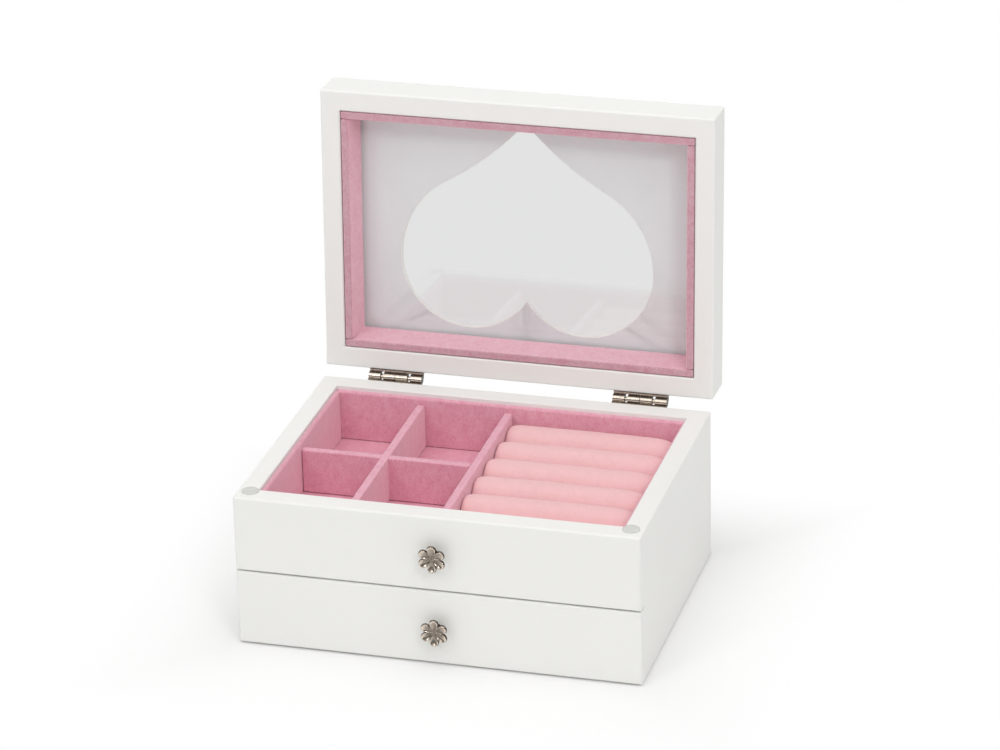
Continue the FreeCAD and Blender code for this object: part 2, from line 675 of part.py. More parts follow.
def make_hinges():
    on_case = [make_screws("case", -1)]
    on_lid = [make_screws("lid", 1)]
    for side, sign in SIDES.items():
        on_case.append(make_leaf(side, sign, "case", -1, (1, 3)))
        on_lid.append(make_leaf(side, sign, "lid", 1, (0, 2)))
        left = f"({sign} * hinge_offset - hinge_length / 2)"
        pin = rod(f"hinge_{side}_pin", "X", (left, HINGE_Y, HINGE_Z), "pin_radius", "hinge_length")
        keep(pin, f"hinge_{side}_pin")
    for piece in on_case:
        bind_place(piece, "Placement.Base", ("0", HINGE_Y, HINGE_Z))
    for piece in on_lid:
        open_with_lid(piece)


# Flower knobs, drawn along +Z from the face that they stand on and then turned to the front.

def drill_for_knob(body, owner, y, z):
    """Bore for a knob's screw, with a seat for its head in the inner face."""
    drill(body, f"{owner}_knob_bore", ("0", y[0], z), KNOB_HOLE, span(y), False)
    seat = "(knob_screw_head_radius + knob_screw_clearance)"
    drill(body, f"{owner}_knob_seat", ("0", y[1], z), seat, "knob_screw_head_height", True)


def make_knob(name, height):
    top = "(knob_stand + petal_depth)"
    petals = []
    for number in range(PETAL_COUNT):
        angle = math.radians(360 * number / PETAL_COUNT)
        petal = doc.addObject("Part::Sphere", f"{name}_petal_{number}")
        bind(petal, "Radius", "petal_radius")
        across = f"petal_pitch * {math.sin(angle):.6f}"
        up = f"petal_pitch * {math.cos(angle):.6f}"
        bind_place(petal, "Placement.Base", (across, up, middle(("knob_stand", top))))
        petals.append(petal)
    petals.append(rod(f"{name}_heart", "Z", ("0", "0", "knob_stand"), "petal_pitch", "petal_depth"))
    flower = doc.addObject("Part::Common", f"{name}_flower")
    flower.Base = fuse(f"{name}_petals", petals)
    reach = "petal_pitch + 2 * petal_radius"
    flower.Tool = rod(f"{name}_slice", "Z", ("0", "0", "knob_stand"), reach, "petal_depth")
    flange = rod(f"{name}_flange", "Z", ("0", "0", "0"), "knob_flange_radius", "knob_flange_thickness")
    neck = rod(f"{name}_neck", "Z", ("0", "0", "0"), "knob_neck_radius", top)
    thread = rod(f"{name}_thread", "Z", ("0", "0", "0"), KNOB_HOLE, "knob_screw_grip + knob_screw_clearance")
    knob = cut(name, fuse(f"{name}_blank", [flower, flange, neck]), thread)
    face_forward(knob, FRONT_Y, height)
    keep(knob, name)


def make_knob_screw(name, seat_y, height):
    """Screw from a head let into the board's inner face to its grip inside the knob."""
    length = f"({seat_y} - {FRONT_Y} - knob_screw_head_height + knob_screw_grip)"
    head = rod(f"{name}_head", "Z", ("0", "0", "0"), "knob_screw_head_radius", "knob_screw_head_height")
    shank = rod(f"{name}_shank", "Z", ("0", "0", "knob_screw_head_height"), "knob_screw_radius", length)
    screw = fuse(name, [head, shank])
    face_forward(screw, seat_y, height)
    keep(screw, name)


def face_forward(item, y, z):
    """Turns a piece that is drawn along +Z to the front, onto a face."""
    item.Placement = FreeCAD.Placement(Vector(), Rotation(Vector(1, 0, 0), 90))
    bind_place(item, "Placement.Base", ("0", y, z))


def make_knobs():
    tray_z = middle((SEAM_HIGH_Z, RIM_Z))
    drawer_z = middle((FOOT_Z, SEAM_LOW_Z))
    make_knob("upper_knob", tray_z)
    make_knob_screw("upper_knob_screw", INNER_FRONT_Y, tray_z)
    make_knob("drawer_knob", drawer_z)
    make_knob_screw("drawer_knob_screw", BOX_INNER_FRONT_Y, drawer_z)


# Checks and files.

def check_document():
    for item in doc.Objects:
        if "Invalid" in item.State or "Error" in item.State:
            raise RuntimeError(f"{item.Label} failed: {item.State}")
        if item.TypeId == "PartDesign::Pocket" and item.Shape.Volume > item.BaseFeature.Shape.Volume - NEAR:
            raise RuntimeError(f"{item.Label} cuts nothing")
    for item in sub_parts:
        if item.Shape.isNull() or not item.Shape.isValid() or not item.Shape.Solids:
            raise RuntimeError(f"{item.Label} has no valid solid")


def write_files():
    os.makedirs("parts", exist_ok=True)
    for item in sub_parts:
        item.Shape.exportStep(f"parts/{item.Label}.step")


make_case()
make_tray()
make_ring_rolls()
make_drawer()
make_lid()
make_hinges()
make_knobs()
doc.recompute()
check_document()
write_files()
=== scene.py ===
import json
import math

import bmesh
import bpy
from bpy.props import FloatProperty, FloatVectorProperty, PointerProperty
from mathutils import Matrix, Vector, noise


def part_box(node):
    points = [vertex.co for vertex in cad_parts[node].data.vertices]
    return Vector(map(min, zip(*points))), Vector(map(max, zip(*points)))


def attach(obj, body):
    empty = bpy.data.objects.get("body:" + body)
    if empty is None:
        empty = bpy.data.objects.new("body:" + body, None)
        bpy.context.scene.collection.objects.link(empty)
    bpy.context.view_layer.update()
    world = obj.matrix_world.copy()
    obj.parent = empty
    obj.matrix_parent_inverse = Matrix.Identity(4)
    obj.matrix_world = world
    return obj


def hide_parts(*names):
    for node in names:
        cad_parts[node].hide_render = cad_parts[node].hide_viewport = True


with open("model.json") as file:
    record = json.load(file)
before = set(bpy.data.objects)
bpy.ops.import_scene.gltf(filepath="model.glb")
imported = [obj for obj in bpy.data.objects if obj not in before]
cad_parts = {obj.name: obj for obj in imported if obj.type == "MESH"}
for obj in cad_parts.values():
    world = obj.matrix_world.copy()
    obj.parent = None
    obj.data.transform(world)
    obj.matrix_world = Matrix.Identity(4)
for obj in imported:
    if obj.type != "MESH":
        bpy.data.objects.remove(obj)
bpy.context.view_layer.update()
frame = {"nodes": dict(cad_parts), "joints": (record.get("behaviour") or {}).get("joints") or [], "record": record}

bl_info = {
    "name": "Jewelry Box Finish",
    "version": (1, 0, 0),
    "blender": (4, 5, 0),
    "location": "View3D > Sidebar > Jewelry Box",
    "description": "Dresses the packed jewelry box with paint, velvet, velour rolls, nickel and glass",
    "category": "Object",
}

MM = 0.001
UP = Vector((0, 0, 1))
# How close two places or vertices are when they are the same.
SAME_PLACE = 0.02 * MM
SAME_VERTEX = 0.001 * MM
# Up to which angle faces are one, and past which edges are rounded or shaded as creases.
FLAT_ANGLE = math.radians(1)
SHARP_ANGLE = math.radians(30)
CREASE_ANGLE = math.radians(40)
# Segments of the rounded edges: outer ones, fine ones and the velvet's fold.
OUTER_SEGMENTS, FINE_SEGMENTS, FOLD_SEGMENTS = 4, 3, 5


def linear(hex_colour):
    """Linear RGB of an sRGB hex value."""
    channels = [int(hex_colour[i:i + 2], 16) / 255 for i in (1, 3, 5)]
    return tuple(c / 12.92 if c <= 0.04045 else ((c + 0.055) / 1.055) ** 2.4 for c in channels)


# The lid's own frame: shut, with the hinge line along X through its origin and its front edge to -Y.

LID_JOINT = next(joint for joint in frame["joints"] if joint["name"] == "lid_hinge")
LID_SWING = math.radians(LID_JOINT["range_deg"][1])
LID_OPEN = Matrix.Translation(LID_JOINT["pos_m"]) @ Matrix.Rotation(-LID_SWING, 4, "X")


def shut_points(node):
    """The points of a lid node's mesh in the lid's own frame."""
    shut = LID_OPEN.inverted()
    return [shut @ vertex.co for vertex in frame["nodes"][node].data.vertices]


def shut_box(node):
    """Lowest and highest corner of a lid node in the lid's own frame."""
    points = shut_points(node)
    low = Vector(min(point[i] for point in points) for i in range(3))
    high = Vector(max(point[i] for point in points) for i in range(3))
    return low, high


# Sizes and colours that a user would change.

def length(name, description, millimetres):
    return FloatProperty(name=name, description=description, default=millimetres * MM, min=0.0, precision=5,
                         unit="LENGTH")


def colour(name, description, hex_colour):
    return FloatVectorProperty(name=name, description=description, default=linear(hex_colour), min=0.0,
                               max=1.0, size=3, subtype="COLOR")


class JewelryBoxSizes(bpy.types.PropertyGroup):
    """Sizes of what the finish adds to the solids"""
    case_easing: length("Case easing", "Radius of the sanded outer edges of the case", 1.3)
    rim_easing: length("Rim easing", "Radius of the rim's inner edge", 0.6)
    lid_easing: length("Lid easing", "Radius of the sanded edges of the lid", 1.2)
    seam_easing: length("Seam easing", "Radius of the edges along the drawer's seam", 0.15)
    heart_easing: length("Heart easing", "Radius of the heart window's cut edge", 0.5)
    velvet_easing: length("Velvet easing", "Radius of the velvet folded over a board's edge", 0.7)
    roll_slack: length("Roll slack", "How far a roll starts inside its place before it is stuffed", 0.5)
    roll_swell: length("Roll swell", "The most that stuffing moves a roll's cover", 0.7)
    petal_cup: length("Petal cup", "Depth of the hollow in each petal of the knobs", 0.9)


class JewelryBoxColours(bpy.types.PropertyGroup):
    """Colours of the finishes"""
    paint: colour("Paint", "Satin lacquer on the case and lid", "#F0F0ED")
    velvet: colour("Velvet", "Lining of the tray and drawer", "#DD96AB")
    velvet_lit: colour("Velvet nap", "Velvet where its nap leans to the light", "#EBB8C6")
    # The strips' velvet is paler than the lining's, and their finish darkens it again with painted shade where it
    # faces the eye.
    strip: colour("Strip velvet", "Thin velvet on the strips in the lid", "#E5A5B7")
    strip_lit: colour("Strip velvet nap", "Thin velvet where its nap leans to the light", "#F3CAD4")
    velour: colour("Velour", "Cover of the ring rolls", "#ECC0C2")
    nickel: colour("Nickel", "Worn high spots of the metal", "#E2D5C6")
    # This dark colour is also laid, as painted shade, on faces that turn from the front and on the hinge leaves.
    patina_and_painted_shade: colour("Patina", "Darkened hollows of the metal", "#3A302A")


def sizes():
    return bpy.context.scene.jewelry_box_sizes


def colours():
    return bpy.context.scene.jewelry_box_colours


# Materials. Each pattern's scale is one over its real size.

def per(millimetres):
    return 1.0 / (millimetres * MM)


def feed(tree, node, inputs):
    """Sets or links the inputs of a node."""
    for socket, value in inputs.items():
        if isinstance(value, bpy.types.NodeSocket):
            tree.links.new(value, node.inputs[socket])
        else:
            node.inputs[socket].default_value = value


def add(tree, kind, inputs=None, **settings):
    """Adds a node with its settings and inputs."""
    node = tree.nodes.new(kind)
    for key, setting in settings.items():
        setattr(node, key, setting)
    feed(tree, node, inputs or {})
    return node


def new_material(name):
    """Empty material with its shader, its output and Object coordinates."""
    material = bpy.data.materials.new(name)
    material.use_nodes = True
    tree = material.node_tree
    tree.nodes.clear()
    shader = add(tree, "ShaderNodeBsdfPrincipled")
    add(tree, "ShaderNodeOutputMaterial", {"Surface": shader.outputs["BSDF"]})
    place = add(tree, "ShaderNodeTexCoord").outputs["Object"]
    return material, tree, shader, place


def rgba(values):
    return (*values, 1.0)


def shade(values, factor):
    return tuple(min(1.0, channel * factor) for channel in values)


def painted_mdf(name, roughness, ripple, base):
    """Satin lacquer on sanded board: an even soft white whose faint orange peel breaks its reflections."""
    material, tree, shader, place = new_material(name)
    drift = add(tree, "ShaderNodeTexNoise", {"Vector": place, "Scale": per(70), "Detail": 2.0})
    tone = add(tree, "ShaderNodeMix", {"Factor": drift.outputs["Fac"], "A": rgba(shade(base, 0.975)),
                                       "B": rgba(shade(base, 1.015))}, data_type="RGBA")
    peel = add(tree, "ShaderNodeTexNoise", {"Vector": place, "Scale": per(ripple), "Detail": 3.0,
                                            "Roughness": 0.45})
    gloss = add(tree, "ShaderNodeMapRange", {"Value": peel.outputs["Fac"], "To Min": roughness - 0.05,
                                             "To Max": roughness + 0.07})
    bump = add(tree, "ShaderNodeBump", {"Height": peel.outputs["Fac"], "Strength": 0.05,
                                        "Distance": 0.1 * MM})
    feed(tree, shader, {"Base Color": tone.outputs["Result"], "Roughness": gloss.outputs["Result"],
                        "Normal": bump.outputs["Normal"]})
    return material


def case_lacquer():
    return painted_mdf("sprayed_satin_lacquer_on_mdf", roughness=0.42, ripple=1.4, base=colours().paint)


def drawer_lacquer():
    return painted_mdf("rolled_lacquer_on_thin_board", roughness=0.55, ripple=2.2, base=colours().paint)


def panel_shaded_white():
    """Inside of the lid's panel, behind the glass: a flatter white, darker and cooler than the sprayed outside,
    painted as the recess's shade.
    """
    return painted_mdf("inside_of_panel_painted_shade", roughness=0.6, ripple=2.0, base=linear("#E6EAEB"))


def pile_cloth(name, low, high, nap, fibre, sheen, end_on_painted_shade=1.0):
    """Cut pile glued on board or foam: fibres scatter light, and the nap leans in soft patches.

    Real fibres are too fine to show, so tufts of them are drawn, fibre millimetres wide. Below one, the end-on
    share darkens the colour where the pile is looked at from straight above, which leaves it paler at grazing
    angles: painted shade and painted sheen."""
    material, tree, shader, place = new_material(name)
    brushed = add(tree, "ShaderNodeMapping", {"Vector": place, "Rotation": (0.0, math.radians(20), 0.0),
                                              "Scale": (1.0, 1.0, 0.65)}).outputs["Vector"]
    patch = add(tree, "ShaderNodeTexNoise", {"Vector": brushed, "Scale": per(nap), "Detail": 4.0,
                                             "Roughness": 0.6})
    fuzz = add(tree, "ShaderNodeTexNoise", {"Vector": brushed, "Scale": per(fibre), "Detail": 2.0,
                                            "Roughness": 0.7})
    grain = add(tree, "ShaderNodeMix", {"Factor": 0.6, "A": patch.outputs["Fac"], "B": fuzz.outputs["Fac"]},
                data_type="FLOAT")
    lean = add(tree, "ShaderNodeMapRange", {"Value": grain.outputs["Result"], "From Min": 0.35,
                                            "From Max": 0.65})
    tone = add(tree, "ShaderNodeMix", {"Factor": lean.outputs["Result"], "A": rgba(low), "B": rgba(high)},
               data_type="RGBA")
    bump = add(tree, "ShaderNodeBump", {"Height": fuzz.outputs["Fac"], "Strength": 0.35,
                                        "Distance": 0.25 * MM})
    # Painted sheen and shade: the colour is darkened where the pile faces the eye, and not at grazing angles.
    facing = add(tree, "ShaderNodeLayerWeight", {"Blend": 0.5}).outputs["Facing"]
    painted_sheen = add(tree, "ShaderNodeMapRange", {"Value": facing, "From Min": 0.1, "From Max": 0.6,
                                            "To Min": end_on_painted_shade})
    tone_with_painted_sheen = add(tree, "ShaderNodeVectorMath", {0: tone.outputs["Result"],
                                                  "Scale": painted_sheen.outputs["Result"]}, operation="SCALE")
    feed(tree, shader, {"Base Color": tone_with_painted_sheen.outputs["Vector"], "Normal": bump.outputs["Normal"],
                        "Roughness": 0.95, "Specular IOR Level": 0.15, "Sheen Weight": sheen,
                        "Sheen Roughness": 0.45, "Sheen Tint": rgba(linear("#FFE9EE"))})
    return material


def liner_velvet():
    tones = colours()
    return pile_cloth("flocked_velvet_on_board", tones.velvet, tones.velvet_lit, nap=4.0, fibre=0.9,
                      sheen=0.9)


def strip_velvet():
    tones = colours()
    # The strips' faces that look straight at the eye are darkened here as painted shade.
    return pile_cloth("flocked_velvet_on_thin_strip_with_painted_shade", tones.strip, tones.strip_lit, nap=4.0, fibre=0.9,
                      sheen=1.0, end_on_painted_shade=0.71)


def roll_velour():
    tone = colours().velour
    return pile_cloth("brushed_velour_over_foam", shade(tone, 0.96), shade(tone, 1.05), nap=5.0, fibre=0.9,
                      sheen=0.3)


def needle_felt():
    tone = colours().velvet
    return pile_cloth("needled_base_felt", shade(tone, 0.8), shade(tone, 1.0), nap=3.0, fibre=0.9, sheen=0.1)


def antique_nickel(name, wipe_and_painted_shade=None):
    """Nickel, darkened and then bright where wiping took the darkening off: bright broad faces, brown hollows, and
    brown sides that are partly the antique darkening and partly painted shade; a soft hammered gloss.

    Where given, the function passed in makes the nodes for how bright the broad faces are, with painted light of
    its own."""
    material, tree, shader, place = new_material(name)
    tones = colours()
    normal = add(tree, "ShaderNodeTexCoord").outputs["Normal"]
    outward = add(tree, "ShaderNodeSeparateXYZ", {0: normal}).outputs["Y"]
    # Faces turned up, down or sideways from the front and back are darkened: partly the antique darkening, partly
    # painted shade.
    broad = add(tree, "ShaderNodeMath", {0: outward}, operation="ABSOLUTE")
    brightest = wipe_and_painted_shade(tree, place) if wipe_and_painted_shade else 0.95
    wiped_and_painted_light = add(tree, "ShaderNodeMapRange", {"Value": broad.outputs["Value"], "From Min": 0.3,
                                             "From Max": 0.85, "To Min": 0.05, "To Max": brightest},
                interpolation_type="SMOOTHSTEP")
    wear = add(tree, "ShaderNodeTexNoise", {"Vector": place, "Scale": per(1.2), "Detail": 4.0})
    spread = add(tree, "ShaderNodeMath", {0: wear.outputs["Fac"], 1: 0.5}, operation="SUBTRACT")
    worn_and_painted_shade = add(tree, "ShaderNodeMath", {0: spread.outputs["Value"], 1: 0.7, 2: wiped_and_painted_light.outputs["Result"]},
               operation="MULTIPLY_ADD", use_clamp=True)
    tone = add(tree, "ShaderNodeMix", {"Factor": worn_and_painted_shade.outputs["Value"], "A": rgba(tones.patina_and_painted_shade),
                                       "B": rgba(tones.nickel)}, data_type="RGBA")
    gloss = add(tree, "ShaderNodeMapRange", {"Value": worn_and_painted_shade.outputs["Value"], "To Min": 0.4, "To Max": 0.2})
    bump = add(tree, "ShaderNodeBump", {"Height": wear.outputs["Fac"], "Strength": 0.4,
                                        "Distance": 0.15 * MM})
    feed(tree, shader, {"Base Color": tone.outputs["Result"], "Roughness": gloss.outputs["Result"],
                        "Normal": bump.outputs["Normal"], "Metallic": 1.0})
    return material


def hinge_leaves_painted_shade(tree, place):
    """How bright a hinge is: its barrel is bright from wiping, and its leaves are kept darker as painted shade for
    the shadow under the lid.
    """
    line = add(tree, "ShaderNodeVectorMath", {0: place, 1: LID_JOINT["pos_m"]}, operation="SUBTRACT")
    flat = add(tree, "ShaderNodeVectorMath", {0: line.outputs["Vector"], 1: (0.0, 1.0, 1.0)},
               operation="MULTIPLY")
    off = add(tree, "ShaderNodeVectorMath", {0: flat.outputs["Vector"]}, operation="LENGTH")
    bright = add(tree, "ShaderNodeMapRange", {"Value": off.outputs["Value"], "From Min": 2.4 * MM,
                                              "From Max": 2.9 * MM, "To Min": 1.0, "To Max": 0.62})
    return bright.outputs["Result"]


def petal_wipe_and_painted_light(tree, place):
    """How bright a petal is from wiping: its rim most, its bowl less, its outline and root hardly; the dark
    outline is partly the antique darkening and partly painted shade.
    """
    return add(tree, "ShaderNodeAttribute", attribute_name="wiped_and_painted_light").outputs["Fac"]


def zinc_plated_steel():
    """Turned steel with a thin zinc plate: grey, with a cloudy gloss."""
    material, tree, shader, place = new_material("zinc_plated_turned_steel")
    cloud = add(tree, "ShaderNodeTexNoise", {"Vector": place, "Scale": per(0.8), "Detail": 3.0})
    tone = add(tree, "ShaderNodeMix", {"Factor": cloud.outputs["Fac"], "A": rgba(linear("#8C8A86")),
                                       "B": rgba(linear("#C4C2BE"))}, data_type="RGBA")
    gloss = add(tree, "ShaderNodeMapRange", {"Value": cloud.outputs["Fac"], "To Min": 0.28, "To Max": 0.45})
    feed(tree, shader, {"Base Color": tone.outputs["Result"], "Roughness": gloss.outputs["Result"],
                        "Metallic": 1.0})
    return material


def float_glass():
    """Float glass, drawn as a thin clear pane: only its smooth reflection shows, stronger at a glance."""
    material, tree, shader, place = new_material("float_glass_pane")
    smear = add(tree, "ShaderNodeTexNoise", {"Vector": place, "Scale": per(25), "Detail": 3.0})
    gloss = add(tree, "ShaderNodeMapRange", {"Value": smear.outputs["Fac"], "From Min": 0.4, "From Max": 0.8,
                                             "To Min": 0.0, "To Max": 0.04})
    facing = add(tree, "ShaderNodeLayerWeight", {"Blend": 0.5}).outputs["Facing"]
    glance = add(tree, "ShaderNodeMath", {0: facing, 1: 5.0}, operation="POWER")
    mirror = add(tree, "ShaderNodeMapRange", {"Value": glance.outputs["Value"], "To Min": 0.065,
                                              "To Max": 1.0})
    feed(tree, shader, {"Base Color": rgba(linear("#F4F6F6")), "Roughness": gloss.outputs["Result"],
                        "Alpha": mirror.outputs["Result"], "Metallic": 1.0})
    return material


def clear_pvc():
    """Soft clear bumper pressed from sheet: a faint grey dome that is plainest at its rounded rim."""
    material, tree, shader, place = new_material("pressed_clear_bumper")
    haze = add(tree, "ShaderNodeTexNoise", {"Vector": place, "Scale": per(2.0), "Detail": 2.0})
    gloss = add(tree, "ShaderNodeMapRange", {"Value": haze.outputs["Fac"], "To Min": 0.12, "To Max": 0.28})
    edge = add(tree, "ShaderNodeLayerWeight", {"Blend": 0.35})
    cover = add(tree, "ShaderNodeMapRange", {"Value": edge.outputs["Facing"], "To Min": 0.4, "To Max": 0.75})
    feed(tree, shader, {"Base Color": rgba(linear("#D4D6D3")), "Roughness": gloss.outputs["Result"],
                        "Alpha": cover.outputs["Result"], "IOR": 1.45})
    return material


# The record's slots, and the finishes of pieces that look unlike the rest of their slot.

FINISHES = {
    "painted_wood": case_lacquer,
    "panel_painted_shade": panel_shaded_white,
    "drawer_board": drawer_lacquer,
    "velvet_lining": liner_velvet,
    "strip_velvet": strip_velvet,
    "ring_roll_velour": roll_velour,
    "antique_nickel": lambda: antique_nickel("darkened_turned_nickel_with_painted_shade"),
    "petal_nickel_painted_light": lambda: antique_nickel("darkened_cast_nickel_painted_light", petal_wipe_and_painted_light),
    "hinge_nickel_painted_shade": lambda: antique_nickel("darkened_rolled_nickel_painted_shade", hinge_leaves_painted_shade),
    "steel_screw": zinc_plated_steel,
    "clear_bumper": clear_pvc,
    "window_glass": float_glass,
    "base_felt": needle_felt,
}
MATERIALS = {}


def material_of(finish):
    """The material of a slot or finish, made once."""
    if finish not in MATERIALS:
        MATERIALS[finish] = FINISHES[finish]()
    return MATERIALS[finish]


# Ways to make a piece.

def near(a, b):
    return abs(a - b) < SAME_PLACE


def box_between(low, high):
    bm = bmesh.new()
    centre = Matrix.Translation((low + high) / 2)
    bmesh.ops.create_cube(bm, size=1.0, matrix=centre @ Matrix.Diagonal((*(high - low), 1.0)))
    return bm


def grid_between(xs, ys, z):
    """Flat grid whose lines lie at the given places."""
    bm = bmesh.new()
    columns, rows = len(xs) - 1, len(ys) - 1
    bmesh.ops.create_grid(bm, x_segments=columns, y_segments=rows, size=1.0)
    for vertex in bm.verts:
        column = round((vertex.co.x + 1) / 2 * columns)
        row = round((vertex.co.y + 1) / 2 * rows)
        vertex.co = (xs[column], ys[row], z)
    return bm


def turn_profile(bm, profile, radius, height, steps):
    """Turns a profile about Z, its points given in units of a radius and a height, and closes its poles."""
    verts = [bm.verts.new((out * radius, 0, up * height)) for out, up in profile]
    edges = [bm.edges.new(pair) for pair in zip(verts, verts[1:])]
    bmesh.ops.spin(bm, geom=verts + edges, cent=(0, 0, 0), axis=UP, angle=2 * math.pi, steps=steps,
                   use_merge=True)
    bmesh.ops.remove_doubles(bm, verts=bm.verts, dist=SAME_VERTEX)


def spin_vertex(bm, vertex, centre, axis, angle, steps):
    """Draws an arc from a vertex and returns the arc's last one."""
    made = bmesh.ops.spin(bm, geom=[vertex], cent=centre, axis=axis, angle=angle, steps=steps)
    return next(item for item in made["geom_last"] if isinstance(item, bmesh.types.BMVert))


def fill_outline(bm, verts):
    """Joins the vertices in their order, which closes the arcs already drawn, and fills the outline."""
    for pair in zip(verts, verts[1:]):
        bm.edges.new(pair)
    bmesh.ops.edgeloop_fill(bm, edges=bm.edges[:])


def extrude(bm, faces, shift):
    """Extrudes a region of faces, which goes if it would stay inside, and returns its new vertices."""
    edges = list(dict.fromkeys(edge for face in faces for edge in face.edges))
    made = bmesh.ops.extrude_face_region(bm, geom=faces + edges)["geom"]
    verts = [item for item in made if isinstance(item, bmesh.types.BMVert)]
    bmesh.ops.translate(bm, verts=verts, vec=shift)
    return verts


def faces_where(bm, wanted):
    """The faces whose middle passes a test."""
    return [face for face in bm.faces if wanted(face.calc_center_median())]


def join_flat_faces(bm):
    bmesh.ops.recalc_face_normals(bm, faces=bm.faces)
    bmesh.ops.dissolve_limit(bm, angle_limit=FLAT_ANGLE, verts=bm.verts, edges=bm.edges)


def sharp_edges(bm):
    return [edge for edge in bm.edges if len(edge.link_faces) == 2 and edge.calc_face_angle() > SHARP_ANGLE]


def bevel_edges(bm, edges, radius, segments):
    bmesh.ops.bevel(bm, geom=edges, offset=radius, offset_type="OFFSET", affect="EDGES", segments=segments,
                    profile=0.5, material=-1, clamp_overlap=True)


def round_edges(bm, radius, segments, wanted):
    """Rounds the sharp edges whose two ends both pass a test."""
    edges = [edge for edge in sharp_edges(bm) if all(wanted(vertex.co) for vertex in edge.verts)]
    bevel_edges(bm, edges, radius, segments)


def add_piece(name, bm, body, slot, replaced, place=None, finish=None):
    """Makes an object of a bmesh, moved to its place, and hangs it on a CAD body.

    It has its slot's finish, unless it is given another."""
    if place is not None:
        bmesh.ops.transform(bm, matrix=place, verts=bm.verts)
    bmesh.ops.recalc_face_normals(bm, faces=bm.faces)
    mesh = bpy.data.meshes.new(name)
    bm.to_mesh(mesh)
    bm.free()
    mesh.shade_smooth()
    mesh.set_sharp_from_angle(angle=CREASE_ANGLE)
    mesh.materials.append(material_of(finish or slot))
    piece = bpy.data.objects.new(name, mesh)
    bpy.context.scene.collection.objects.link(piece)
    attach(piece, body)
    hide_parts(*replaced)
    return piece


def add_flat_piece(*details):
    """Makes a piece whose large flat faces stay flat beside their rounded edges."""
    piece = add_piece(*details)
    piece.modifiers.new("Flat faces", "WEIGHTED_NORMAL").keep_sharp = True
    return piece


def smooth_piece(piece, levels):
    """Finishes a piece with a subdivided surface."""
    smooth = piece.modifiers.new("Smooth", "SUBSURF")
    smooth.levels = smooth.render_levels = levels


class BuildCase(bpy.types.Operator):
    """Builds the painted case: sides, back and fixed front under one coat"""
    bl_idname = "jewelrybox.build_case"
    bl_label = "Painted case"

    def execute(self, context):
        left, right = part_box("case_side_left"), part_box("case_side_right")
        front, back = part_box("tray_front"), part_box("case_back")
        seam, rim, foot = front[0].z, front[1].z, left[0].z
        face_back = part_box("drawer_front")[1].y
        xs = (left[0].x, left[1].x, right[0].x, right[1].x)
        ys = (front[0].y, face_back, front[1].y, back[0].y, back[1].y)

        def in_hollow(middle):
            return abs(middle.x) < xs[2] and ys[2] < middle.y < ys[3]

        def under_walls(middle):
            in_back = middle.y > ys[3]
            in_side = abs(middle.x) > xs[2] and middle.y > ys[1]
            return near(middle.z, seam) and (in_back or in_side)

        def on_outside(co):
            return near(abs(co.x), xs[3]) or near(co.y, ys[0]) or near(co.y, ys[4])

        def on_inside(co):
            return near(abs(co.x), xs[2]) or near(co.y, ys[2]) or near(co.y, ys[3])

        def on_corner(co):
            return near(abs(co.x), xs[3]) and (near(co.y, ys[0]) or near(co.y, ys[4]))

        def on_outer_edge(co):
            return on_corner(co) or (near(co.z, rim) and on_outside(co))

        def on_inner_rim(co):
            return near(co.z, rim) and not on_outside(co) and on_inside(co)

        def on_lower_edge(co):
            return co.z < seam + SAME_PLACE and (on_outside(co) or near(co.z, foot))

        bm = grid_between(xs, ys, seam)
        bmesh.ops.delete(bm, geom=faces_where(bm, in_hollow), context="FACES")
        extrude(bm, bm.faces[:], UP * (rim - seam))
        extrude(bm, faces_where(bm, under_walls), UP * (foot - seam))
        join_flat_faces(bm)
        round_edges(bm, sizes().case_easing, OUTER_SEGMENTS, on_outer_edge)
        round_edges(bm, sizes().rim_easing, FINE_SEGMENTS, on_inner_rim)
        round_edges(bm, sizes().seam_easing, FINE_SEGMENTS, on_lower_edge)
        add_flat_piece("painted_case", bm, "case", "painted_wood",
                       ("case_side_left", "case_side_right", "case_back", "tray_front"))
        return {"FINISHED"}


class BuildDrawerFace(bpy.types.Operator):
    """Builds the drawer's painted face"""
    bl_idname = "jewelrybox.build_drawer_face"
    bl_label = "Drawer face"

    def execute(self, context):
        low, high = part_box("drawer_front")

        def on_front_corner(co):
            return near(co.y, low.y) and near(abs(co.x), high.x)

        def on_seam(co):
            return near(co.z, low.z) or near(co.z, high.z)

        bm = box_between(low, high)
        round_edges(bm, sizes().case_easing, OUTER_SEGMENTS, on_front_corner)
        round_edges(bm, sizes().seam_easing, FINE_SEGMENTS, on_seam)
        add_flat_piece("drawer_face", bm, "drawer", "painted_wood", ("drawer_front",))
        return {"FINISHED"}


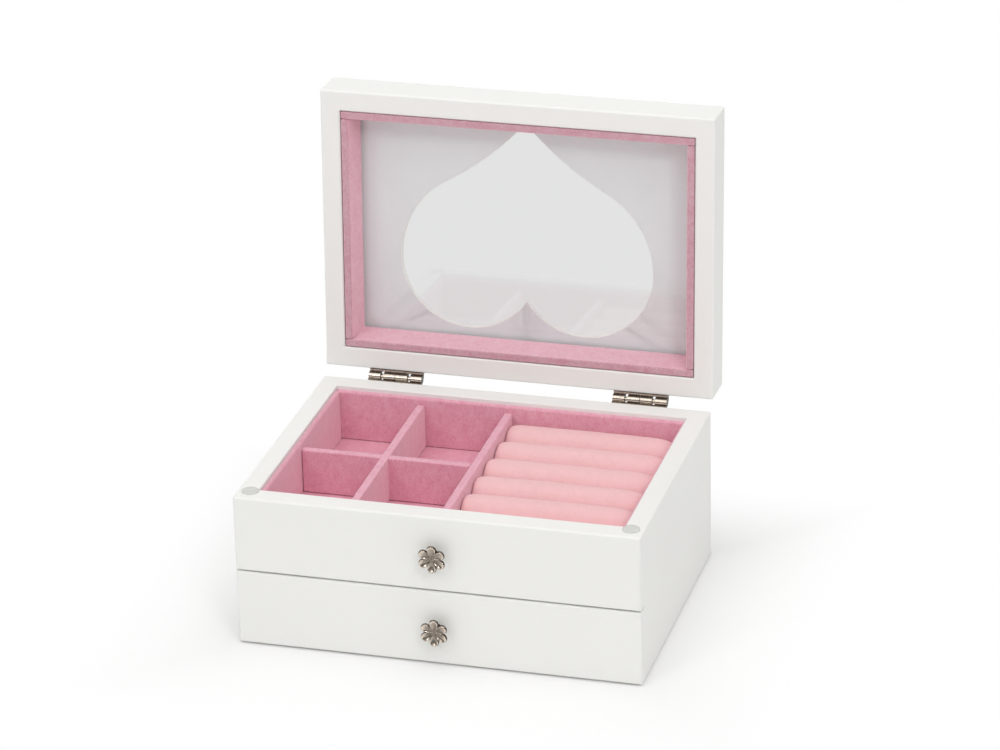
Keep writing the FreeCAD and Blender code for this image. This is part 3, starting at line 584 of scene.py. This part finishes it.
class BuildLid(bpy.types.Operator):
    """Builds the lid's painted frame and its top board with the heart window"""
    bl_idname = "jewelrybox.build_lid"
    bl_label = "Painted lid"

    # The right half of the heart, as in the solid: a lobe, a shoulder and a hollow flank down to its tip.
    LOBE = Vector((32.66, -64.4, 0.0)) * MM
    LOBE_RADIUS = 38.68 * MM
    SHOULDER_RADIUS = 52.2 * MM
    HOLLOW_RADIUS = 166.0 * MM
    TIP = Vector((0.0, -146.2, 0.0)) * MM
    LOBE_STEPS, SHOULDER_STEPS, HOLLOW_STEPS = 28, 16, 12
    # What lies further than this inside the board's edges belongs to the heart.
    BORDER = 8.0 * MM

    def execute(self, context):
        self.build_frame()
        self.build_panel()
        return {"FINISHED"}

    def build_frame(self):
        left, right = shut_box("lid_rail_left"), shut_box("lid_rail_right")
        front, back = shut_box("lid_rail_front"), shut_box("lid_rail_back")
        foot, top = front[0].z, front[1].z
        xs = (left[0].x, left[1].x, right[0].x, right[1].x)
        ys = (front[0].y, front[1].y, back[0].y, back[1].y)

        def in_opening(middle):
            return xs[1] < middle.x < xs[2] and ys[1] < middle.y < ys[2]

        def on_corner(co):
            return near(abs(co.x), xs[3]) and (near(co.y, ys[0]) or near(co.y, ys[3]))

        def along_foot(edge):
            return all(near(v.co.z, foot) and not near(v.co.y, ys[3]) for v in edge.verts)

        def at_corners(edge):
            a, b = (v.co for v in edge.verts)
            return on_corner(a) and on_corner(b) and not (near(a.z, top) and near(b.z, top))

        bm = grid_between(xs, ys, foot)
        bmesh.ops.delete(bm, geom=faces_where(bm, in_opening), context="FACES")
        extrude(bm, bm.faces[:], UP * (top - foot))
        join_flat_faces(bm)
        rounded = [edge for edge in sharp_edges(bm) if along_foot(edge) or at_corners(edge)]
        bevel_edges(bm, rounded, sizes().lid_easing, OUTER_SEGMENTS)
        rails = ("lid_rail_front", "lid_rail_back", "lid_rail_left", "lid_rail_right")
        add_flat_piece("lid_frame", bm, "lid", "painted_wood", rails, LID_OPEN)

    def build_panel(self):
        low, high = shut_box("lid_panel")

        def on_border(co):
            return near(abs(co.x), high.x) or near(co.y, low.y) or near(co.y, high.y)

        def on_corner(co):
            return near(abs(co.x), high.x) and (near(co.y, low.y) or near(co.y, high.y))

        def along_top(edge):
            return all(near(v.co.z, high.z) and on_border(v.co) for v in edge.verts)

        def up_corner(edge):
            a, b = (v.co for v in edge.verts)
            return on_corner(a) and on_corner(b) and not near(a.z, b.z)

        def on_heart(co):
            return abs(co.x) < high.x - self.BORDER and low.y + self.BORDER < co.y < high.y - self.BORDER

        bm = self.half_board(low, high)
        everything = bm.verts[:] + bm.edges[:] + bm.faces[:]
        bmesh.ops.mirror(bm, geom=everything, matrix=Matrix(), merge_dist=SAME_VERTEX, axis="X")
        bmesh.ops.recalc_face_normals(bm, faces=bm.faces)
        outer = [edge for edge in sharp_edges(bm) if along_top(edge) or up_corner(edge)]
        bevel_edges(bm, outer, sizes().lid_easing, OUTER_SEGMENTS)
        round_edges(bm, sizes().heart_easing, FINE_SEGMENTS, on_heart)
        # The panel's inner face takes the second material, whose darker, cooler white is painted shade.
        for face in bm.faces:
            face.material_index = 1 if all(near(v.co.z, low.z) for v in face.verts) else 0
        panel = add_flat_piece("heart_panel", bm, "lid", "painted_wood", ("lid_panel",), LID_OPEN)
        panel.data.materials.append(material_of("panel_painted_shade"))

    def half_board(self, low, high):
        """The board's right half with its half of the heart cut out, open where the other half joins it."""
        bm = bmesh.new()
        notch, arcs = self.heart_arcs()
        first = last = bm.verts.new((notch.x, notch.y, low.z))
        for centre, angle, steps in arcs:
            last = spin_vertex(bm, last, centre, UP, angle, steps)
        last.co.x = 0.0
        corners = ((0, low.y), (high.x, low.y), (high.x, high.y), (0, high.y))
        fill_outline(bm, [last, *(bm.verts.new((x, y, low.z)) for x, y in corners), first])
        extrude(bm, bm.faces[:], UP * (high.z - low.z))
        joint = [face for face in bm.faces if all(abs(v.co.x) < SAME_VERTEX for v in face.verts)]
        bmesh.ops.delete(bm, geom=joint, context="FACES")
        return bm

    def heart_arcs(self):
        """Notch point, then the centre, turn and steps of each arc from it to the tip."""
        notch = Vector((0, self.LOBE.y + math.sqrt(self.LOBE_RADIUS ** 2 - self.LOBE.x ** 2), 0))
        widest = self.LOBE + Vector((self.LOBE_RADIUS, 0, 0))
        shoulder = widest - Vector((self.SHOULDER_RADIUS, 0, 0))
        reach = self.SHOULDER_RADIUS + self.HOLLOW_RADIUS
        line = self.TIP - shoulder
        along = (reach ** 2 - self.HOLLOW_RADIUS ** 2 + line.length ** 2) / (2 * line.length)
        aside = math.sqrt(reach ** 2 - along ** 2)
        unit = line.normalized()
        hollow = shoulder + unit * along + Vector((-unit.y, unit.x, 0)) * aside
        flank = shoulder + (hollow - shoulder) * (self.SHOULDER_RADIUS / reach)

        def turn(centre, start, end):
            a, b = start - centre, end - centre
            return math.atan2(a.x * b.y - a.y * b.x, a.dot(b))

        return notch, ((self.LOBE, turn(self.LOBE, notch, widest), self.LOBE_STEPS),
                       (shoulder, turn(shoulder, widest, flank), self.SHOULDER_STEPS),
                       (hollow, turn(hollow, flank, self.TIP), self.HOLLOW_STEPS))


class LineWithVelvet(bpy.types.Operator):
    """Covers each lining board and divider with velvet folded over its edges"""
    bl_idname = "jewelrybox.line_with_velvet"
    bl_label = "Velvet lining"

    WALLS = ("tray_liner_front", "tray_liner_back", "tray_liner_left", "tray_liner_right")
    TRAY = ("tray_liner_floor", *WALLS, "tray_long_divider", "tray_cross_divider", "ring_divider")
    DRAWER = ("drawer_liner_floor", "drawer_liner_front", "drawer_liner_back", "drawer_liner_left",
              "drawer_liner_right")
    LID = ("lid_liner_front", "lid_liner_back", "lid_liner_left", "lid_liner_right")
    # How far the tray's walls stay below the solids, and the cross divider below the long one.
    WALL_DROP = 1.0 * MM
    CROSS_DROP = 0.15 * MM
    # How far a board is drawn in at its ends and foot.
    FOLD = 0.35 * MM
    # The gap about a lid strip, and how far it is thicker than its solid, at the front and at the pane.
    SEAM = 0.5 * MM
    SWELL = 0.35 * MM
    FLARE = 2.3 * MM
    # Radii as shares of a board's thickness.
    TOP_FOLD, WALL_EASING, BOARD_EASING = 0.8, 0.15, 0.4

    def execute(self, context):
        for body, nodes in (("case", self.TRAY), ("drawer", self.DRAWER), ("lid", self.LID)):
            place, finish = (LID_OPEN, "strip_velvet") if body == "lid" else (None, None)
            for node in nodes:
                bm = self.cover(node, body)
                add_flat_piece(f"{node}_velvet", bm, body, "velvet_lining", (node,), place, finish)
        return {"FINISHED"}

    def cover(self, node, body):
        """A board, divider or strip in its velvet."""
        low, high = shut_box(node) if body == "lid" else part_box(node)
        if node == "tray_cross_divider":
            high = high - UP * self.CROSS_DROP
        bm = box_between(low, high)
        thin = min(high - low)
        easing = self.BOARD_EASING
        if body == "lid":
            self.shape_strip(bm, low, high)
        elif not node.endswith("floor"):
            self.draw_in(bm, low, high)
        if node in self.WALLS:
            self.fold_top(bm, high.z, thin * self.TOP_FOLD)
            easing = self.WALL_EASING
        round_edges(bm, min(sizes().velvet_easing, thin * easing), FINE_SEGMENTS, lambda co: True)
        return bm

    def draw_in(self, bm, low, high):
        """Draws a board in at its ends and foot, where folded velvet leaves a dark line by its neighbour."""
        middle = (low + high) / 2
        along = 0 if high.x - low.x > high.y - low.y else 1
        for vertex in bm.verts:
            vertex.co[along] += math.copysign(self.FOLD, middle[along] - vertex.co[along])
            if vertex.co.z < middle.z:
                vertex.co.z += self.FOLD

    def shape_strip(self, bm, low, high):
        """Leaves a fine seam about a lid strip and lets it thicken towards the pane that it holds."""
        middle = (low + high) / 2
        across, along = (0, 1) if high.x - low.x < high.y - low.y else (1, 0)
        pane = sum(shut_box("lid_glass"), Vector()) / 2
        inward = math.copysign(1.0, pane[across] - middle[across])
        for vertex in bm.verts:
            end = math.copysign(1.0, vertex.co[along] - middle[along])
            vertex.co[along] -= end * (self.SEAM if across else self.SEAM + self.SWELL)
            if (vertex.co[across] - middle[across]) * inward < 0:
                vertex.co[across] += inward * self.SEAM
            else:
                vertex.co[across] += inward * (self.FLARE if near(vertex.co.z, high.z) else self.SWELL)

    def fold_top(self, bm, top, radius):
        """Lowers a wall's top and rounds its edge on the tray's side, where the velvet is folded over it."""
        verts = [vertex for vertex in bm.verts if near(vertex.co.z, top)]
        bmesh.ops.translate(bm, verts=verts, vec=-UP * self.WALL_DROP)
        rim = [edge for edge in bm.edges if all(vertex in verts for vertex in edge.verts)]
        inner = min(rim, key=lambda edge: (edge.verts[0].co + edge.verts[1].co).xy.length)
        bevel_edges(bm, [inner], radius, FOLD_SEGMENTS)


class StuffRingRolls(bpy.types.Operator):
    """Sews a velour tube for each ring roll and stuffs it by cloth simulation"""
    bl_idname = "jewelrybox.stuff_ring_rolls"
    bl_label = "Ring rolls"

    COUNT = 6
    # The tube: how far its round top's centre lies below its crown, as a share of its half width, and how
    # far it is drawn in at places along its length, both as shares.
    CROWN = 0.94
    CROWN_STEPS = 14
    GATHERS = ((0.0, 0.91), (0.015, 0.955), (0.035, 0.985), (0.075, 1.0), (0.5, 1.0), (0.87, 1.0),
               (0.92, 0.98), (0.96, 0.93), (1.0, 0.83))
    # The cloth: its mesh, the height that is glued down, and the stuffing's push over some frames.
    VOXEL = 1.6 * MM
    GLUED = 3.0 * MM
    CLOTH_MASS = 0.1
    CLOTH_QUALITY = 6
    PRESSURE = 4.0
    FRAMES = 20
    # The lumps that hand stuffing leaves: how wide in millimetres, and how high.
    LUMP_WIDTH = 14.0
    LUMP_HEIGHT = 0.25 * MM

    def execute(self, context):
        for number in range(1, self.COUNT + 1):
            node = f"ring_roll_{number}"
            low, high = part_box(node)
            bm = self.tube(low, high)
            roll = add_piece(f"velour_roll_{number}", bm, "case", "ring_roll_velour", (node,))
            self.stuff(roll, low, high, number)
        return {"FINISHED"}

    def tube(self, low, high):
        """Rounded section carried along the roll and gathered at both ends."""
        slack = sizes().roll_slack
        half = (high.y - low.y) / 2 - slack
        middle = (high.y + low.y) / 2
        shoulder = high.z - slack - half * self.CROWN
        bm = bmesh.new()
        start = bm.verts.new((low.x, middle + half, shoulder))
        end = spin_vertex(bm, start, (low.x, middle, shoulder), (1, 0, 0), math.pi, self.CROWN_STEPS)
        feet = [bm.verts.new((low.x, y, low.z)) for y in (middle - half, middle + half)]
        fill_outline(bm, [end, *feet, start])
        foot = Matrix.Translation((0, middle, low.z))
        verts, reached, drawn = bm.verts[:], 0.0, 1.0
        for station, draw in self.GATHERS:
            if station > reached:
                step = (station - reached) * (high.x - low.x)
                face = next(f for f in bm.faces if all(near(v.co.x, verts[0].co.x) for v in f.verts))
                verts = extrude(bm, [face], Vector((step, 0, 0)))
            gather = Matrix.Diagonal((1, math.sqrt(draw / drawn), draw / drawn, 1))
            bmesh.ops.transform(bm, matrix=foot @ gather @ foot.inverted(), verts=verts)
            reached, drawn = station, draw
        return bm

    def stuff(self, roll, low, high, number):
        """Blows the glued-down cover up from inside as cloth, and keeps it in the roll's own place."""
        self.remesh(roll)
        rest = [vertex.co.copy() for vertex in roll.data.vertices]
        glued = [index for index, co in enumerate(rest) if co.z < low.z + self.GLUED]
        limit = sizes().roll_swell
        for vertex, before, move in zip(roll.data.vertices, rest, self.swell(roll, rest, glued)):
            lump = noise.noise((before + Vector((number, 0, 0))) * per(self.LUMP_WIDTH)) * self.LUMP_HEIGHT
            share = min(1.0, limit / max(move.length, SAME_VERTEX))
            place = before + move * share + vertex.normal * lump
            vertex.co = [min(max(p, a), b) for p, a, b in zip(place, low, high)]
        smooth_piece(roll, 1)

    def remesh(self, roll):
        """Gives the tube an even mesh that can stretch as cloth."""
        voxels = roll.modifiers.new("Voxels", "REMESH")
        voxels.mode = "VOXEL"
        voxels.voxel_size = self.VOXEL
        made = bpy.data.meshes.new_from_object(roll.evaluated_get(bpy.context.evaluated_depsgraph_get()))
        roll.modifiers.clear()
        roll.data = made
        made.shade_smooth()

    def swell(self, roll, rest, glued):
        """How far the stuffing moves each vertex of the cover."""
        scene = bpy.context.scene
        roll.vertex_groups.new(name="glued").add(glued, 1.0, "REPLACE")
        cloth = roll.modifiers.new("Stuffing", "CLOTH")
        cloth.settings.quality = self.CLOTH_QUALITY
        cloth.settings.mass = self.CLOTH_MASS
        cloth.settings.use_pressure = True
        cloth.settings.uniform_pressure_force = self.PRESSURE
        cloth.settings.effector_weights.gravity = 0.0
        cloth.settings.vertex_group_mass = "glued"
        for number in range(1, self.FRAMES + 1):
            scene.frame_set(number)
        swollen = roll.evaluated_get(bpy.context.evaluated_depsgraph_get()).data
        moves = [after.co - before for after, before in zip(swollen.vertices, rest)]
        roll.modifiers.remove(cloth)
        roll.vertex_groups.clear()
        scene.frame_set(1)
        return moves


class CastKnobs(bpy.types.Operator):
    """Casts the two flower knobs"""
    bl_idname = "jewelrybox.cast_knobs"
    bl_label = "Flower knobs"

    PETALS = 6
    # The waisted stem's radius and height, in millimetres.
    STEM = ((0.0, 0.0), (2.8, 0.0), (2.7, 0.4), (2.1, 0.8), (1.9, 1.8), (2.0, 3.0), (2.7, 4.4), (0.0, 5.2))
    STEM_STEPS = 20
    # A petal: where it starts, its half width and depth, how far it lies below the knob's top, and its rise.
    PETAL_START = -0.3 * MM
    PETAL_HALF_WIDTH = 3.6 * MM
    PETAL_HALF_DEPTH = 1.3 * MM
    PETAL_SINK = 2.8 * MM
    PETAL_RISE = 1.5 * MM
    # Shares: the root's width, the back's depth, where the rim starts, how bright wiping left bowl and root, and
    # the outline's width.
    ROOT_WIDTH, BACK_DEPTH, RIM = 0.25, 0.8, 0.8
    # The dark outline at a petal's edge is partly the antique darkening and partly painted shade.
    BOWL_WIPED, ROOT_WIPED, DARK_OUTLINE = 0.5, 0.3, 0.12

    def execute(self, context):
        for node, body in (("upper_knob", "case"), ("drawer_knob", "drawer")):
            low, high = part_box(node)
            seat = Vector(((low.x + high.x) / 2, high.y, (low.z + high.z) / 2))
            place = Matrix.Translation(seat) @ Matrix.Rotation(math.radians(90), 4, "X")
            bm = self.flower(high.y - low.y, (high.z - low.z) / 2)
            knob = add_piece(f"{node}_flower", bm, body, "antique_nickel", (node,), place, "petal_nickel_painted_light")
            smooth_piece(knob, 2)
        return {"FINISHED"}

    def flower(self, height, radius):
        """Cupped petals on a waisted stem, drawn along +Z from the face that it stands on."""
        bm = bmesh.new()
        self.add_petal(bm, height, radius)
        petal = bm.verts[:] + bm.edges[:] + bm.faces[:]
        others = self.PETALS - 1
        bmesh.ops.spin(bm, geom=petal, cent=(0, 0, 0), axis=UP, angle=2 * math.pi * others / self.PETALS,
                       steps=others, use_duplicate=True)
        turn_profile(bm, self.STEM, MM, MM, self.STEM_STEPS)
        return bm

    def add_petal(self, bm, height, radius):
        """Teardrop petal towards +Y, hollowed like a spoon inside a rounded rim."""
        wiped_and_painted_light = bm.verts.layers.float.new("wiped_and_painted_light")
        half_length = (radius - self.PETAL_START) / 2
        cup = sizes().petal_cup / self.PETAL_HALF_DEPTH
        made = bmesh.ops.create_uvsphere(bm, u_segments=28, v_segments=20, radius=1.0)["verts"]
        for vertex in made:
            across, along, up = vertex.co
            out = min(1.0, vertex.co.xy.length)
            outward = (along + 1) / 2
            if up < 0:
                level = up * self.BACK_DEPTH
            elif out > self.RIM:
                level = math.sqrt(1 - ((out - self.RIM) / (1 - self.RIM)) ** 2)
            else:
                level = 1 - cup * (1 - (out / self.RIM) ** 2)
            # How bright each point is, stored on the mesh: darker bowl and root from the antique darkening, and a
            # dark outline at the edge that is partly painted shade.
            if out < self.RIM:
                bright = self.BOWL_WIPED + (1 - self.BOWL_WIPED) * (out / self.RIM) ** 3
            else:
                bright = min(1.0, (1.0 - out) / self.DARK_OUTLINE)
            vertex[wiped_and_painted_light] = bright * min(1.0, self.ROOT_WIPED + outward)
            taper = self.ROOT_WIDTH + (1 - self.ROOT_WIDTH) * outward
            rise = level * self.PETAL_HALF_DEPTH + self.PETAL_RISE * outward - self.PETAL_SINK
            reach = self.PETAL_START + (along + 1) * half_length
            vertex.co = (across * self.PETAL_HALF_WIDTH * taper, reach, height + rise)


class DriveHingeScrews(bpy.types.Operator):
    """Drives the hinges' pan head screws, with their cross slots"""
    bl_idname = "jewelrybox.drive_hinge_screws"
    bl_label = "Hinge screws"

    # All in units of the head's radius: the screw's radius and height, and its slots.
    PROFILE = ((0.0, 0.0), (0.5, -0.03), (0.85, -0.22), (1.0, -0.5), (1.0, -0.53), (0.53, -0.53),
               (0.53, -4.4), (0.0, -4.7))
    STEPS = 24
    SLOT_HALF_WIDTH, SLOT_REACH, SLOT_DEPTH = 0.14, 0.72, 0.22
    HEAD_TOP = -0.3

    def execute(self, context):
        cad = frame["nodes"]["case_hinge_screws"].data.vertices
        self.drive("case_hinge_screws", "case", [vertex.co for vertex in cad], None)
        self.drive("lid_hinge_screws", "lid", shut_points("lid_hinge_screws"), LID_OPEN)
        return {"FINISHED"}

    def drive(self, node, body, points, place):
        """Puts a screw at each head that a node's points show."""
        outer = max(point.y for point in points)
        heads = [point for point in points if near(point.y, outer)]
        low, high = min(point.z for point in heads), max(point.z for point in heads)
        radius = (high - low) / 2
        groups = []
        for x in sorted(point.x for point in heads):
            if not groups or x - groups[-1][-1] > radius:
                groups.append([x])
            groups[-1].append(x)
        bm = bmesh.new()
        for xs in groups:
            head = Matrix.Translation(((xs[0] + xs[-1]) / 2, outer, (low + high) / 2))
            self.add_screw(bm, head @ Matrix.Rotation(math.radians(-90), 4, "X"), radius)
        add_piece(f"{node}_heads", bm, body, "antique_nickel", (node,), place)

    def add_screw(self, bm, place, radius):
        """Pan head with a cross slot, and its shank; drawn up +Z with the head's top at the origin."""
        one = bmesh.new()
        turn_profile(one, self.PROFILE, radius, radius, self.STEPS)
        width = self.SLOT_HALF_WIDTH * radius

        def in_slot(middle):
            in_cross = min(abs(middle.x), abs(middle.y)) < width
            on_top = middle.z > self.HEAD_TOP * radius
            return in_cross and on_top and middle.xy.length < self.SLOT_REACH * radius

        for axis in ((1, 0, 0), (0, 1, 0)):
            for side in (-width, width):
                everything = one.verts[:] + one.edges[:] + one.faces[:]
                bmesh.ops.bisect_plane(one, geom=everything, plane_co=Vector(axis) * side, plane_no=axis)
        extrude(one, faces_where(one, in_slot), UP * (-self.SLOT_DEPTH * radius))
        bmesh.ops.transform(one, matrix=place, verts=one.verts)
        mesh = bpy.data.meshes.new("screw")
        one.to_mesh(mesh)
        one.free()
        bm.from_mesh(mesh)
        bpy.data.meshes.remove(mesh)


class PressBumpers(bpy.types.Operator):
    """Presses the two clear bumpers onto the rim"""
    bl_idname = "jewelrybox.press_bumpers"
    bl_label = "Clear bumpers"

    # A dome in units of the bumper's radius and height, sunk a little into the rim that it sticks to.
    DOME = ((0.0, -0.04), (1.0, -0.04), (0.97, 0.35), (0.8, 0.75), (0.5, 0.94), (0.0, 1.0))
    STEPS = 40

    def execute(self, context):
        for side in ("left", "right"):
            node = f"bumper_{side}"
            low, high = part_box(node)
            bm = bmesh.new()
            turn_profile(bm, self.DOME, (high.x - low.x) / 2, high.z - low.z, self.STEPS)
            place = Matrix.Translation(((low.x + high.x) / 2, (low.y + high.y) / 2, low.z))
            add_piece(f"{node}_dome", bm, "case", "clear_bumper", (node,), place)
        return {"FINISHED"}


class FinishSolids(bpy.types.Operator):
    """Gives the solids that stay in view the material of their slot"""
    bl_idname = "jewelrybox.finish_solids"
    bl_label = "Finish of the solids"

    def execute(self, context):
        for row in frame["record"]["subparts"]:
            solid = frame["nodes"][row["node"]]
            finish = "hinge_nickel_painted_shade" if row["node"].startswith("hinge_") else row["material_slot"]
            solid.data.materials.clear()
            solid.data.materials.append(material_of(finish))
        return {"FINISHED"}


class SetStage(bpy.types.Operator):
    """Sets the white floor, the soft light and the camera at the photograph's angle"""
    bl_idname = "jewelrybox.set_stage"
    bl_label = "Stage"

    CAMERA_PLACE = (0.6055, -2.0440, 1.0873)
    CAMERA_AZIMUTH, CAMERA_ELEVATION, CAMERA_ROLL = 16.19, 24.22, -1.502
    CAMERA_LENS = 159.05
    CAMERA_SENSOR = 36.0
    CAMERA_SHIFT = (0.0044, 0.0054)
    FLOOR_HALF = 30.0
    # How far out from the case's sides the floor's shadow starts to fade, and is gone.
    SHADOW_START, SHADOW_END = -0.02, 0.09
    WHITE = (1, 1, 1, 1)
    # Each softbox's place, width and power, and where they all aim.
    SOFTBOXES = {
        "overhead softbox": ((0.1, -0.3, 2.2), 2.2, 20.0),
        "left softbox": ((-1.4, -2.6, 2.3), 0.7, 11.5),
        "right softbox": ((1.6, -2.2, 2.3), 0.7, 18.5),
    }
    AIM = Vector((0, 0, 0.08))
    # How bright the studio is that metal mirrors, by how steeply a ray rises, and where it doesn't rise.
    ROOM_LEVELS = ((0.1, 0.06), (0.34, 0.06), (0.44, 0.9), (0.62, 1.0), (0.75, 0.35))
    ROOM_LOW = 0.2

    def execute(self, context):
        self.add_camera(context.scene)
        self.add_floor(context.scene)
        self.add_light(context.scene)
        context.scene.view_settings.view_transform = "Standard"
        return {"FINISHED"}

    def add_camera(self, scene):
        lens = bpy.data.cameras.new("Camera")
        lens.sensor_width = self.CAMERA_SENSOR
        lens.lens = self.CAMERA_LENS
        lens.shift_x, lens.shift_y = self.CAMERA_SHIFT
        camera = bpy.data.objects.new("Camera", lens)
        scene.collection.objects.link(camera)
        across, down = math.radians(self.CAMERA_AZIMUTH), math.radians(self.CAMERA_ELEVATION)
        level = math.cos(down)
        ahead = Vector((-math.sin(across) * level, math.cos(across) * level, -math.sin(down)))
        roll = Matrix.Rotation(math.radians(self.CAMERA_ROLL), 4, "Z")
        camera.matrix_world = self.looking(self.CAMERA_PLACE, ahead) @ roll
        scene.camera = camera

    def looking(self, place, way):
        """Where a camera or lamp stands, turned to look a given way."""
        return Matrix.Translation(place) @ way.to_track_quat("-Z", "Y").to_matrix().to_4x4()

    def add_floor(self, scene):
        bm = bmesh.new()
        bmesh.ops.create_grid(bm, x_segments=1, y_segments=1, size=self.FLOOR_HALF)
        mesh = bpy.data.meshes.new("floor")
        bm.to_mesh(mesh)
        bm.free()
        mesh.materials.append(self.paper_sweep())
        floor = bpy.data.objects.new("floor", mesh)
        scene.collection.objects.link(floor)

    def paper_sweep(self):
        """Matt white paper, washed out by light from behind it everywhere but close to the case."""
        material = bpy.data.materials.new("white_paper_sweep")
        material.use_nodes = True
        tree = material.node_tree
        tree.nodes.clear()
        matt = add(tree, "ShaderNodeBsdfDiffuse", {"Color": rgba(linear("#F6F6F6"))})
        glow = add(tree, "ShaderNodeEmission", {"Strength": self.backdrop_strength(tree)})
        place = add(tree, "ShaderNodeTexCoord").outputs["Object"]
        axes = add(tree, "ShaderNodeSeparateXYZ", {0: place}).outputs
        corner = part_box("case_side_right")[1]
        beyond = []
        for axis, half in (("X", corner.x), ("Y", corner.y)):
            reach = add(tree, "ShaderNodeMath", {0: axes[axis]}, operation="ABSOLUTE")
            past = add(tree, "ShaderNodeMath", {0: reach.outputs["Value"], 1: half}, operation="SUBTRACT")
            beyond.append(past.outputs["Value"])
        away = add(tree, "ShaderNodeMath", {0: beyond[0], 1: beyond[1]}, operation="MAXIMUM")
        fade = {"Value": away.outputs["Value"], "From Min": self.SHADOW_START, "From Max": self.SHADOW_END}
        clear = add(tree, "ShaderNodeMapRange", fade, interpolation_type="SMOOTHSTEP")
        bright = add(tree, "ShaderNodeMath", {0: clear.outputs["Result"], 1: self.seen_rays(tree)},
                     operation="MULTIPLY")
        surface = add(tree, "ShaderNodeMixShader", {0: bright.outputs["Value"], 1: matt.outputs["BSDF"],
                                                    2: glow.outputs["Emission"]})
        add(tree, "ShaderNodeOutputMaterial", {"Surface": surface.outputs["Shader"]})
        return material

    def seen_rays(self, tree):
        """One for rays that see the stage straight, in metal or through glass."""
        rays = add(tree, "ShaderNodeLightPath").outputs
        either = add(tree, "ShaderNodeMath", {0: rays["Is Camera Ray"], 1: rays["Is Glossy Ray"]},
                     operation="MAXIMUM")
        return add(tree, "ShaderNodeMath", {0: either.outputs["Value"], 1: rays["Is Transmission Ray"]},
                   operation="MAXIMUM").outputs["Value"]

    def backdrop_strength(self, tree):
        """White to the eye and in metal, a little greyer through glass."""
        through = add(tree, "ShaderNodeLightPath").outputs["Transparent Depth"]
        strength = add(tree, "ShaderNodeMapRange", {"Value": through, "To Min": 1.0, "To Max": 0.76})
        return strength.outputs["Result"]

    def add_light(self, scene):
        world = bpy.data.worlds.new("Studio")
        world.use_nodes = True
        tree = world.node_tree
        tree.nodes.clear()
        fill = add(tree, "ShaderNodeBackground", {"Color": rgba(linear("#FCFBFA")), "Strength": 0.56})
        white = add(tree, "ShaderNodeBackground", {"Strength": self.backdrop_strength(tree),
                                                   "Color": self.WHITE})
        room = add(tree, "ShaderNodeBackground", {"Color": self.room(tree)})
        seen = add(tree, "ShaderNodeMixShader", {0: self.seen_rays(tree), 1: fill.outputs["Background"],
                                                 2: white.outputs["Background"]})
        mirrored = add(tree, "ShaderNodeLightPath").outputs["Is Glossy Ray"]
        mixed = add(tree, "ShaderNodeMixShader", {0: mirrored, 1: seen.outputs["Shader"],
                                                  2: room.outputs["Background"]})
        add(tree, "ShaderNodeOutputWorld", {"Surface": mixed.outputs["Shader"]})
        scene.world = world
        for name, (place, width, power) in self.SOFTBOXES.items():
            lamp = bpy.data.lights.new(name, "AREA")
            lamp.size = width
            lamp.energy = power
            softbox = bpy.data.objects.new(name, lamp)
            scene.collection.objects.link(softbox)
            softbox.matrix_world = self.looking(place, self.AIM - Vector(place))

    def room(self, tree):
        """What metal mirrors: the white backdrop behind, and a dim studio with bright softboxes in front."""
        way = add(tree, "ShaderNodeTexCoord").outputs["Generated"]
        axes = add(tree, "ShaderNodeSeparateXYZ", {0: way}).outputs
        ramp = add(tree, "ShaderNodeValToRGB", {"Fac": axes["Z"]})
        for place, level in self.ROOM_LEVELS:
            ramp.color_ramp.elements.new(place).color = rgba([level] * 3)
        ramp.color_ramp.elements[0].color = rgba([self.ROOM_LOW] * 3)
        side = add(tree, "ShaderNodeMapRange", {"Value": axes["X"], "From Min": -0.3, "From Max": 0.3,
                                                "To Min": 1.0, "To Max": 0.3})
        front = add(tree, "ShaderNodeVectorMath", {0: ramp.outputs["Color"],
                                                   "Scale": side.outputs["Result"]}, operation="SCALE")
        behind = add(tree, "ShaderNodeMapRange", {"Value": axes["Y"], "From Min": 0.0, "From Max": 0.5})
        return add(tree, "ShaderNodeMix", {"Factor": behind.outputs["Result"], "A": front.outputs["Vector"],
                                           "B": self.WHITE}, data_type="RGBA").outputs["Result"]


class JewelryBoxPanel(bpy.types.Panel):
    """Lists the box's pieces in the order in which they are made"""
    bl_idname = "VIEW3D_PT_jewelry_box"
    bl_label = "Jewelry Box"
    bl_space_type = "VIEW_3D"
    bl_region_type = "UI"
    bl_category = "Jewelry Box"

    def draw(self, context):
        for operator in OPERATORS:
            self.layout.operator(operator.bl_idname)
        for group in (sizes(), colours()):
            for key in group.__annotations__:
                self.layout.prop(group, key)


OPERATORS = (FinishSolids, BuildCase, BuildDrawerFace, BuildLid, LineWithVelvet, StuffRingRolls, CastKnobs,
             DriveHingeScrews, PressBumpers, SetStage)
CLASSES = (JewelryBoxSizes, JewelryBoxColours, *OPERATORS, JewelryBoxPanel)


def register():
    for item in CLASSES:
        bpy.utils.register_class(item)
    bpy.types.Scene.jewelry_box_sizes = PointerProperty(type=JewelryBoxSizes)
    bpy.types.Scene.jewelry_box_colours = PointerProperty(type=JewelryBoxColours)


def unregister():
    del bpy.types.Scene.jewelry_box_colours
    del bpy.types.Scene.jewelry_box_sizes
    for item in reversed(CLASSES):
        bpy.utils.unregister_class(item)


def main():
    register()
    for operator in OPERATORS:
        group, name = operator.bl_idname.split(".")
        if getattr(getattr(bpy.ops, group), name)() != {"FINISHED"}:
            raise RuntimeError(f"{operator.bl_label} didn't finish")


if __name__ == "__main__":
    main()
